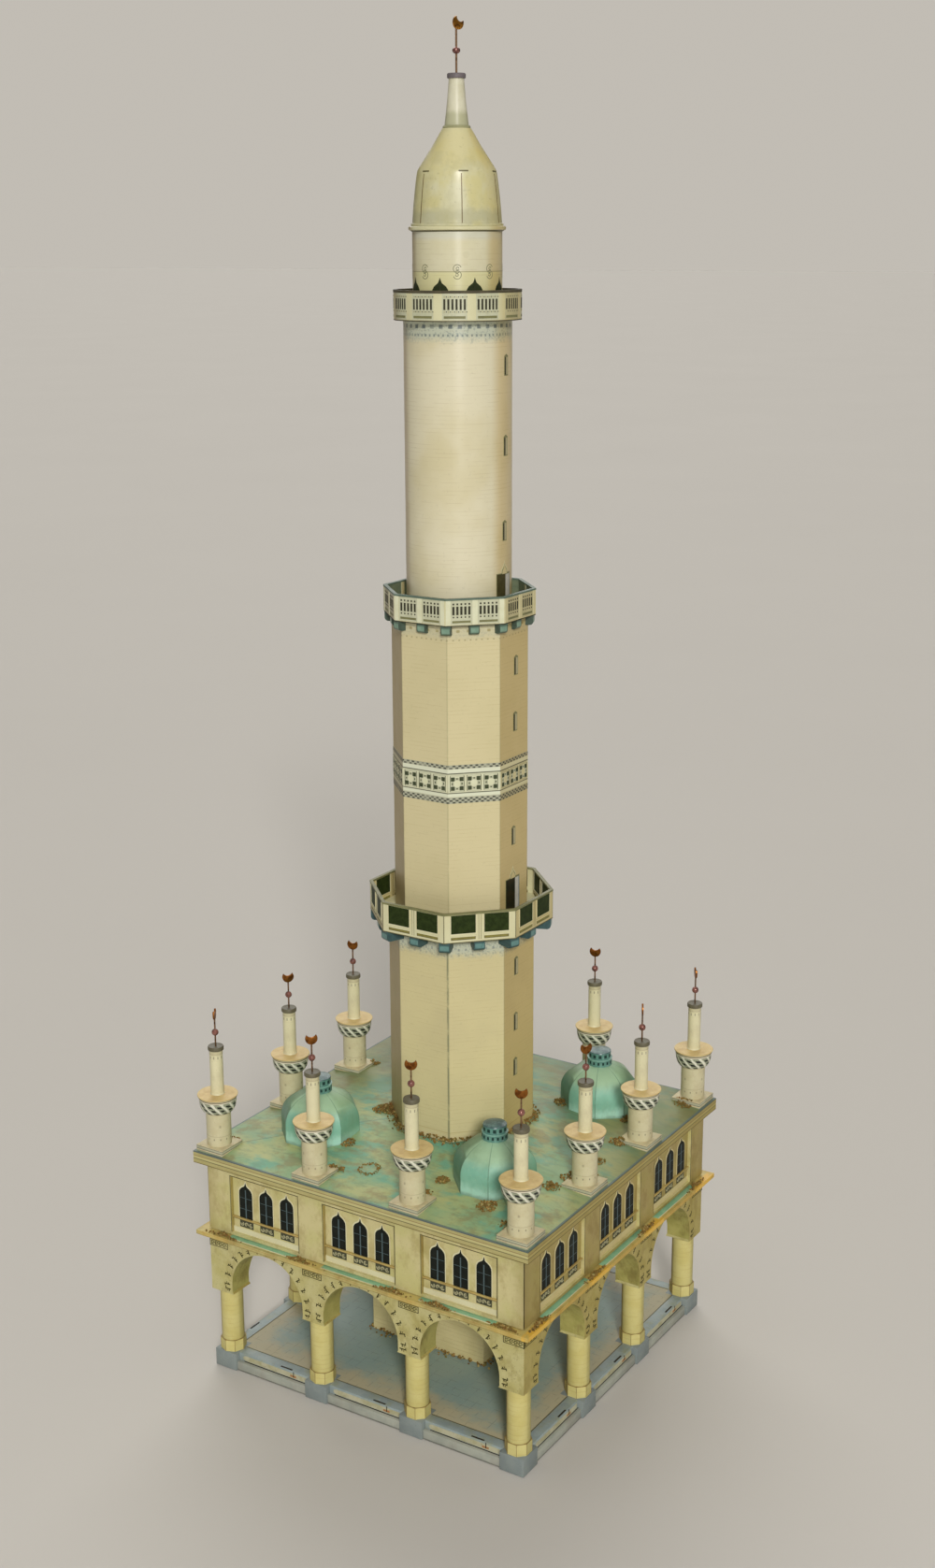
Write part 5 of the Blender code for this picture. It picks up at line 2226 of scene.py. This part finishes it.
@dataclass
class StairOpenings:
    """Printed doors and slit windows of the stair, on the side towards +X."""

    azimuth: float = 90.0
    slit_half: float = 1.15
    slit_tall: float = 6.2
    flat_slits: tuple[tuple[float, float, float], ...] = (
        (LOWER_SHAFT, -1.8, 137.3), (LOWER_SHAFT, -2.0, 118.7), (LOWER_SHAFT, -2.2, 103.4),
        (MIDDLE_SHAFT, -0.2, 179.2), (MIDDLE_SHAFT, 0.7, 215.2), (MIDDLE_SHAFT, 1.1, 232.6))
    round_slits: tuple[tuple[float, float], ...] = ((91.0, 273.1), (93.0, 298.1), (94.0, 321.3))
    flat_door: tuple[float, float, float, float, float] = (151.05, 165.4, 0.7, -4.6, 3.2)
    round_door: tuple[float, float, float, float, float] = (247.75, 260.2, 0.7, -3.5, 3.5)
    door_cut: float = 4.0
    ornament: tuple[tuple[float, float], ...] = ((1.9, 0.3), (1.7, 1.3), (1.0, 2.1), (0.4, 2.8))
    ornament_tip: float = 3.9

    def slit(self) -> Piece:
        """Make a slit window with a dark strip on its left, painted shade in its reveal.

        Returns:
            The slit.
        """
        half, tall = self.slit_half, self.slit_tall / 2
        low, high = 0.3 - tall, tall - 0.9
        return Bench.join([Bench.plate(pointed([(half, -tall), (half, tall - 0.6)], tall), RAIL_OLIVE, 0.1),
                           Bench.strip(0.25 - half, half - 0.2, low, high, SLIT_BLUE, 0.14),
                           Bench.strip(0.25 - half, 0.85 - half, low, high, SLOT_GREY, 0.18)])

    def door(self, low: float, high: float, split: float, left: float, right: float,
             leaf: CardFinish) -> Piece:
        """Make a two-leaf door with a dark left leaf and a pointed ornament above.

        Args:
            low: its foot.
            high: its top.
            split: line between its leaves.
            left: its left edge.
            right: its right edge.
            leaf: print of its left leaf.

        Returns:
            The door.
        """
        parts = [Bench.strip(left - 0.25, right + 0.2, low, high + 0.25, RAIL_OLIVE, 0.1),
                 Bench.strip(left, split, low, high, leaf, 0.14),
                 Bench.strip(split, right, low, high - 0.3, DOOR_PALE, 0.14),
                 Bench.strip(right - 0.5, right, low, high - 0.3, DOOR_EDGE, 0.18)]
        for grow, finish, depth in ((0.0, POST_PALE, 0.1), (-0.35, RAIL_OLIVE, 0.13),
                                    (-0.6, PLAIN_CREAM, 0.16)):
            edge = [(max(x + grow, 0.12), z + 0.6 * grow) for x, z in self.ornament]
            item = Bench.plate(pointed(edge, self.ornament_tip + 2 * grow), finish, depth)
            parts.append(Bench.move(item, at((left + right) / 2 + 0.2, 0.0, high)))
        return Bench.join(parts)

    def build(self) -> None:
        """Make the slits and the doors."""
        turn, slit = around(self.azimuth), self.slit()
        parts = [Bench.copy(slit, turn @ at(x, -radius, z)) for radius, x, z in self.flat_slits]
        parts += [Bench.bent(Bench.copy(slit, at(0.0, 0.0, z)), UPPER_SHAFT, self.slit_half, 3, azimuth)
                  for azimuth, z in self.round_slits]
        Bench.drop(slit)
        flat_door = self.door(*self.flat_door, DOOR_DARK)
        parts.append(Bench.move(flat_door, turn @ at(0.0, -MIDDLE_SHAFT, 0.0)))
        round_door = self.door(*self.round_door, DOOR_OLIVE)
        parts.append(Bench.bent(round_door, UPPER_SHAFT, self.door_cut, 8, self.azimuth))
        Bench.hand_over("stair_openings", parts, Slot.CREAM)


@dataclass
class Lantern:
    """Round drum under the dome, with arches, medallions and the cornice."""

    low: float = 334.9
    high: float = 359.1
    wall: float = 1.0
    cornice: float = 14.15
    arch_half: float = 2.7
    arches: int = 8
    arch_turn: float = 10.0
    scroll_turn: float = -12.5
    scroll_rise: float = 5.2

    def build(self) -> None:
        """Make the drum and the cornice, with painted shade under the cornice."""
        card = CardFinish(
            "drum_print", ink(214, 210, 180), ink(206, 200, 162), 9.0, courses=Courses(1.45, 0.2), rough=0.3,
            speck=Speck(0.1), painted_shade=TOWER_PAINTED_SHADE, uneven=0.06,
            bands=(Band(340.0, 347.6, ink(216, 212, 156), soft=0.4, share=0.7),
                   Band(347.5, 347.75, ink(140, 134, 92), share=0.7),
                   # The next two bands are painted shade under the cornice: a pale blue-grey band and a dark
                   # line right under it.
                   Band(356.6, 360.0, ink(206, 208, 196), soft=0.9, ragged=0.5, share=0.6),
                   Band(358.7, 360.0, ink(84, 76, 58), soft=0.08, share=0.8)))
        drum = Bench.tube(DRUM, DRUM - self.wall, self.low, self.high, ROUND, card)
        Bench.hand_over("drum_card", [drum], Slot.CREAM, "lantern_drum")
        Bench.hand_over("drum_prints", [self.build_arches(), self.build_scrolls()], Slot.CREAM)
        edge, low, high = self.cornice, self.high - 0.05, self.high + 1.1
        disc = Bench.turned([(0.0, low), (edge - 0.3, low), (edge, self.high + 0.2), (edge, self.high + 0.85),
                             (edge - 0.25, high), (0.0, high)], ROUND, PLAIN_CREAM)
        # A dark olive ring under the cornice is painted shadow of the cornice on the drum.
        foot, top = (DRUM, self.high - 0.45), self.high - 0.02
        line = Bench.turned([foot, (edge - 0.35, top), (DRUM, top), foot], ROUND, LINE_OLIVE)
        Bench.hand_over("cornice_disc", [disc, line], Slot.CREAM, "dome_cornice")

    def build_arches(self) -> Piece:
        """Make eight dark ogee arches.

        Returns:
            The arches.
        """
        top, half, foot = PARAPETS[2], self.arch_half, self.low + 0.2
        right = [(half, foot), (half, top - 1.2), (2.45, top + 0.1), (1.9, top + 1.0), (1.15, top + 1.6),
                 (0.6, top + 2.0), (0.32, top + 2.6)]
        arch = Bench.join([Bench.plate(pointed(right, top + 3.5), ARCH_GREEN, 0.12),
                           Bench.strip(-0.1, 0.1, foot + 0.1, top + 1.4, SLOT_GREY, 0.16)])
        return Bench.repeat(Bench.bent(arch, DRUM, half, 6), evenly(self.arches, self.arch_turn))

    def build_scrolls(self) -> Piece:
        """Make the medallions between the arches, each of four open rings.

        Returns:
            The medallions.
        """
        rings, height = [], PARAPETS[2] + self.scroll_rise
        for radius, start, end, x, z in ((1.25, 20, 300, 0.0, 0.75), (1.25, 200, 480, 0.0, -0.95),
                                         (0.5, 0, 330, 0.1, 0.8), (0.5, 180, 510, -0.1, -0.95)):
            middle = (x, height + z)
            outline = arc(radius, start, end, 12, *middle) + arc(radius - 0.2, end, start, 12, *middle)
            rings.append(Bench.plate(outline, SCROLL_GREY, 0.1))
        scroll = Bench.bent(Bench.join(rings), DRUM)
        return Bench.repeat(scroll, evenly(self.arches, self.scroll_turn))


@dataclass
class MainDome:
    """Card dome with tabbed seams, its flange, ring, neck, bead and crescent."""

    profile: tuple[tuple[float, float], ...] = (
        (13.0, 361.0), (12.85, 363.0), (12.62, 366.0), (12.3, 369.0), (11.95, 372.0), (11.6, 374.5),
        (11.35, 375.6), (10.7, 376.7), (9.5, 378.5), (8.28, 380.4), (7.05, 382.2), (6.0, 384.0), (5.2, 385.4),
        (4.15, 387.1))
    flange: tuple[tuple[float, float], ...] = (
        (0.0, 360.2), (13.3, 360.2), (13.4, 360.3), (13.4, 360.9), (13.2, 361.0))
    top: float = 387.3
    tab: tuple[tuple[float, float], ...] = ((11.5, 375.05), (11.42, 375.4))
    seam_top: float = 375.0
    seams: int = 6
    seam_turn: int = 39
    line_thick: float = 0.12
    finial_sides: int = 64
    moon_radius: float = 1.9
    moon_thick: float = 0.7
    moon_foot: float = 413.85
    moon_turn: float = 76.0
    moon_tilt: float = 24.0

    def build(self) -> None:
        """Make the dome, its seams and its finial."""
        # The dome's card carries painted shade, yellowish on the side that faces azimuth 105 and grey on the
        # side that faces azimuth -75.
        card = CardFinish(
            "dome_print", ink(208, 206, 172), ink(204, 196, 134), 9.0, 0.7, rough=0.34,
            speck=Speck(0.25, ink(150, 148, 112), 1.4), stain=Stain(ink(176, 172, 128), 0.3),
            painted_shade=(0.98, 0.93, 0.78, 1.0), left_painted_shade=(0.9, 0.9, 0.84, 1.0),
            bands=(Band(360.8, 364.5, ink(168, 168, 138), soft=1.2, ragged=2.4, share=0.55),
                   Band(376.2, 388.2, ink(208, 196, 132), soft=3.0, ragged=2.4, share=0.5)))
        body = Bench.turned([*self.flange, *self.profile, (0.0, self.top)], ROUND, card)
        Bench.hand_over("dome_card", [body], Slot.YELLOW, "main_dome")
        path = [(radius + 0.02, z) for radius, z in self.profile if z <= self.seam_top]
        lines = []
        for number in range(self.seams):
            azimuth = self.seam_turn + 360 * number / self.seams
            lines.append(self.line(path, azimuth, 1.1, 1, LINE_BROWN))
            lines.append(self.line(self.tab, azimuth + 3, 14.0, 4, LINE_OLIVE))
        Bench.hand_over("dome_seams", lines, Slot.YELLOW)
        self.build_finial()

    def line(self, path: Outline, azimuth: float, sweep: float, steps: int, finish: CardFinish) -> Piece:
        """Spin a path through a part of the circle and give it a thickness.

        Args:
            path: (radius, height) points.
            azimuth: azimuth of its middle.
            sweep: degrees that it covers.
            steps: steps of the spin.
            finish: its print.

        Returns:
            The line.
        """
        item = Bench.spun(path, steps, sweep)
        bpy.ops.object.mode_set(mode="OBJECT")
        item.rotation_euler.z = math.radians(azimuth - 90 + sweep / 2)
        bpy.context.view_layer.update()
        Bench.dressed(item, finish)
        wall = item.modifiers.new("wall", "SOLIDIFY")
        wall.thickness = self.line_thick * MM
        wall.offset = 0.0
        bpy.ops.object.modifier_apply(modifier="wall")
        Bench.edit(item)
        return Bench.smooth(Bench.close())

    def build_finial(self) -> None:
        """Make the ring, neck, cap, wire, bead and crescent."""
        neck_card = CardFinish(
            "neck_print", ink(214, 212, 188), ink(196, 192, 158), 4.0, rough=0.32,
            bands=(Band(387.0, 391.5, ink(166, 168, 132), soft=1.0, ragged=0.6, share=0.7),))
        sides = self.finial_sides
        turned = (
            ([(0.0, 387.0), (3.95, 387.0), (4.0, 387.2), (4.0, 387.6), (3.75, 387.9), (0.0, 387.9)],
             sides, RING_OLIVE),
            ([(0.0, 387.6), (3.5, 387.6), (3.35, 389.0), (3.05, 391.3), (2.7, 394.5), (2.38, 398.0),
              (2.18, 400.7), (0.0, 400.7)], sides, neck_card),
            ([(0.0, 400.6), (2.5, 400.6), (2.68, 400.8), (2.68, 401.75), (2.5, 402.0), (0.0, 402.1)],
             sides, CAP_PURPLE),
            ([(0.0, 402.0), (0.3, 402.0), (0.3, 414.2), (0.0, 414.2)], 12, WIRE_BROWN),
            (arc(1.15, -90, 90, 14, z=408.1, squash=0.95 / 1.15), 32, BEAD_PINK))
        parts = [Bench.turned(*piece) for piece in turned]
        moon = Crescent(self.moon_radius, self.moon_thick, FINIAL_BRASS).build()
        spot = at(0.0, 0.0, self.moon_foot) @ around(self.moon_turn) @ tilted(self.moon_tilt)
        parts.append(Bench.move(moon, spot))
        Bench.hand_over("finial_card", parts, Slot.BRASS, "finial")


@dataclass
class MossScatter:
    """Crumbs of dyed foam, glued in strips and clumps on the roof and in the hall."""

    TINT = "own_tint"

    ring: Ring
    seed: int = 5
    roof_top: float = 81.5
    strip_crumbs: int = 1300
    ledge_crumbs: int = 150
    hall_crumbs: int = 420
    circle_crumbs: int = 120
    circle: tuple[float, float, float] = (-4.8, -45.9, 3.0)
    crowding: float = 1.8
    sunk: float = 0.45
    ledge_top: float = 49.45
    ledge_heaps: tuple[tuple[float, float], ...] = (
        (-51.8, -60.4), (-21.5, -60.4), (13.5, -60.4), (29.5, -60.4), (53.4, -60.4), (60.4, -53.0),
        (60.4, -20.0), (60.4, 14.0), (60.4, 50.0), (20.0, 60.4), (-16.0, 60.4), (-55.0, 60.4), (-60.4, 22.0),
        (-60.4, -14.0))
    heaps: tuple[tuple[float, float, float, int], ...] = (
        (19.1, -41.1, 2.2, 90), (-22.5, -11.7, 4.2, 150), (38.8, -47.0, 3.2, 90), (46.4, -38.8, 2.6, 60),
        (48.7, -25.6, 3.0, 60), (52.2, -2.5, 2.4, 40), (-44.0, -28.0, 3.0, 60), (-22.0, 23.0, 3.4, 70),
        (23.5, 24.0, 3.0, 60), (46.0, 28.0, 2.8, 50), (-20.0, -36.0, 2.6, 50), (29.0, 46.5, 3.0, 60))

    def roof_height(self, x: float, y: float) -> float:
        """Find the height of the roof or of a turret's pad.

        Args:
            x: place to the right.
            y: place to the back.

        Returns:
            The height.
        """
        for spot_x, spot_y in self.ring.places().values():
            if abs(x - spot_x) < PAD_HALF and abs(y - spot_y) < PAD_HALF:
                return PAD_TOP
        fall = (self.roof_top - ROOF_EDGE) / (ROOF_HALF - LOWER_SHAFT)
        return ROOF_EDGE + (ROOF_HALF - max(abs(x), abs(y), LOWER_SHAFT)) * fall

    @staticmethod
    def crumb_mesh() -> tuple[np.ndarray, list[tuple[int, ...]]]:
        """Take the shape of one crumb from a small ico sphere.

        Returns:
            Its points and its faces.
        """
        Bench.clear()
        bpy.ops.mesh.primitive_ico_sphere_add(subdivisions=1, radius=MM)
        item = bpy.context.object
        spots = np.array([tuple(v.co) for v in item.data.vertices])
        faces = [tuple(p.vertices) for p in item.data.polygons]
        Bench.drop(item)
        return spots, faces

    def lay(self, name: str, spots: Sequence[Crumb]) -> None:
        """Join crumbs into one piece and hand it over.

        Args:
            name: name of the piece.
            spots: place and size of each crumb.
        """
        picks = np.random.default_rng(self.seed + len(spots))
        base, faces = self.crumb_mesh()
        points, polygons, tints = [], [], []
        for x, y, z, size in spots:
            shape = size * picks.uniform(0.65, 1.25, 3)
            wobble = base * (1 + picks.uniform(-0.3, 0.3, base.shape)) * shape
            start = len(points) * len(base)
            points.append(wobble + np.array((x, y, z)) * MM)
            polygons += [tuple(i + start for i in face) for face in faces]
            tints += [float(picks.uniform())] * len(base)
        mesh = bpy.data.meshes.new(name)
        mesh.from_pydata(np.concatenate(points).tolist(), [], polygons)
        mesh.attributes.new(self.TINT, "FLOAT", "POINT").data.foreach_set("value", tints)
        item = bpy.data.objects.new(name, mesh)
        bpy.context.collection.objects.link(item)
        Paint.dress(item, MOSS_BROWN)
        Bench.hand_over(name, [item])

    def on_roof(self, x: float, y: float, size: float, lift: float = 0.0) -> Crumb:
        """A crumb that touches the roof or the crumbs under it."""
        return x, y, self.roof_height(x, y) + size * self.sunk + lift, size

    def tower_strip(self, picks: random.Random) -> list[Crumb]:
        """Spread crumbs in the corner between the roof and the tower.

        Args:
            picks: random numbers.

        Returns:
            The crumbs.
        """
        spots = []
        for _ in range(self.strip_crumbs):
            side, along = picks.randrange(OCTAGON), picks.uniform(-9.4, 9.4)
            away = 0.25 + picks.expovariate(1.5)
            size = picks.uniform(0.16, 0.46)
            flat = around(45 * side) @ Vector((along, -(LOWER_SHAFT + min(away, 2.8)), 0.0))
            lift = picks.uniform(0.0, 1.5) if away < 1.0 else 0.0
            spots.append(self.on_roof(flat.x, flat.y, size, lift))
        return spots

    def heap(self, picks: random.Random, x: float, y: float, reach: float, count: int) -> list[Crumb]:
        """Pile crumbs up in a round heap, highest in the middle.

        Args:
            picks: random numbers.
            x: middle of the heap to the right.
            y: middle of the heap to the back.
            reach: radius of the heap.
            count: number of its crumbs, before the crowding.

        Returns:
            The crumbs.
        """
        spots = []
        for _ in range(int(self.crowding * count)):
            far = reach * picks.random() ** 0.7
            turn = picks.uniform(0, 2 * math.pi)
            size = picks.uniform(0.15, 0.42)
            lift = max(0.0, (1 - far / reach)) * reach * 0.4 * picks.random()
            spots.append(self.on_roof(x + far * math.cos(turn), y + far * math.sin(turn), size, lift))
        return spots

    def roof_heaps(self, picks: random.Random) -> list[Crumb]:
        """Pile the heaps on the roof, and lay a ring of crumbs near its front edge.

        Args:
            picks: random numbers.

        Returns:
            The crumbs.
        """
        spots = [crumb for heap in self.heaps for crumb in self.heap(picks, *heap)]
        x, y, radius = self.circle
        for _ in range(self.circle_crumbs):
            turn = 2 * math.pi * picks.random()
            reach = radius + picks.uniform(-0.7, 0.7)
            spots.append(self.on_roof(x + reach * math.cos(turn), y + reach * math.sin(turn),
                                      picks.uniform(0.12, 0.3)))
        return spots

    def pad_corners(self, picks: random.Random) -> list[Crumb]:
        """Pile crumbs along the inner edges of the turrets' pads.

        Args:
            picks: random numbers.

        Returns:
            The crumbs.
        """
        spots = []
        for x, y in self.ring.places().values():
            toward = math.atan2(-y, -x)
            for _ in range(picks.randint(1, 3)):
                turn = toward + picks.uniform(-1.1, 1.1)
                reach = PAD_HALF + picks.uniform(0.3, 1.8)
                far = min(reach / max(abs(math.cos(turn)), abs(math.sin(turn))), 8.0)
                spots += self.heap(picks, x + far * math.cos(turn), y + far * math.sin(turn),
                                   picks.uniform(1.2, 2.8), picks.randint(14, 34))
        return spots

    def on_ledge(self, picks: random.Random) -> list[Crumb]:
        """Pile crumbs in low, long heaps on the ledge.

        Args:
            picks: random numbers.

        Returns:
            The crumbs.
        """
        spots = []
        for x, y in self.ledge_heaps:
            beside = abs(x) > abs(y)
            for _ in range(self.ledge_crumbs):
                slide, size = picks.gauss(0.0, 2.5), picks.uniform(0.15, 0.42)
                across = picks.uniform(-0.9, 1.2)
                step = (math.copysign(across, x), slide) if beside else (slide, math.copysign(across, y))
                rise = picks.random() * max(0.0, 1.3 - abs(slide) * 0.4)
                spots.append((x + step[0], y + step[1], self.ledge_top + size * self.sunk + rise, size))
        return spots

    def in_hall(self, picks: random.Random) -> list[Crumb]:
        """Spread crumbs on the floor of the hall, round the core.

        Args:
            picks: random numbers.

        Returns:
            The crumbs.
        """
        spots = []
        for _ in range(self.hall_crumbs):
            side, along = picks.randrange(SQUARE), picks.uniform(-22.5, 22.5)
            away, size = 0.2 + picks.expovariate(1.6), picks.uniform(0.22, 0.5)
            flat = around(90 * side) @ Vector((along, -(LOWER_SHAFT + min(away, 2.5)), 0.0))
            rise = picks.uniform(0, 1.2) if away < 0.9 else 0.0
            spots.append((flat.x, flat.y, PLINTH_TOP + size * self.sunk + rise, size))
        return spots

    def build(self) -> None:
        """Lay the crumbs on the roof, the pads and the ledge, and round the core in the hall."""
        picks = random.Random(self.seed)
        for name, spread in (("tower_foot", self.tower_strip), ("roof_heaps", self.roof_heaps),
                             ("pads", self.pad_corners), ("ledge", self.on_ledge), ("hall", self.in_hall)):
            self.lay(f"moss_{name}", spread(picks))


CRESCENT_TURNS = {
    "front_1": 120, "front_2": 45, "front_3": 25, "front_4": 30, "right_2": 60, "right_3": 118,
    "back_4": 125, "back_3": 15, "back_2": 80, "back_1": 140, "left_3": 10, "left_2": 50,
}


def dress_nodes(nodes: dict[str, Piece]) -> None:
    """Give the nodes that stay their printed card.

    Args:
        nodes: the nodes of the frame, by name.
    """
    coats = {"roof": ROOF_VERDIGRIS, "ledge": LEDGE_OCHRE, "tower_core": CORE_CREAM}
    coats.update({f"storey_wall_{side.word}": WALL_CREAM for side in Side})
    for name, finish in coats.items():
        Paint.dress(nodes[name], finish)
        LOG.info("%s: dressed in %s", name, finish.name)


def main() -> None:
    """Build every part of the model round the frame."""
    logging.basicConfig(level=logging.INFO, format="%(name)s: %(message)s")
    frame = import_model()
    ring, turret_ring = Ring(), Ring(56.0)
    Stage().build()
    dress_nodes(frame["nodes"])
    builders = [
        Plinth(ring), Columns(ring), Arcade(), Storey(), Turrets(turret_ring, CRESCENT_TURNS),
        RoofDomes(), Shafts(),
        FirstGallery("gallery_1", 27.15, DECKS[0], PARAPETS[0], LOWER_SHAFT),
        SecondGallery("gallery_2", 21.65, DECKS[1], PARAPETS[1], MIDDLE_SHAFT),
        ThirdGallery("gallery_3", 18.75, DECKS[2], PARAPETS[2], UPPER_SHAFT), Lantern(), MainDome(), Frieze(),
        StairOpenings(), MossScatter(turret_ring),
    ]
    for builder in builders:
        LOG.info("building %s", type(builder).__name__)
        builder.build()
    Bench.clear()
    bpy.context.view_layer.update()


if __name__ == "__main__":
    main()
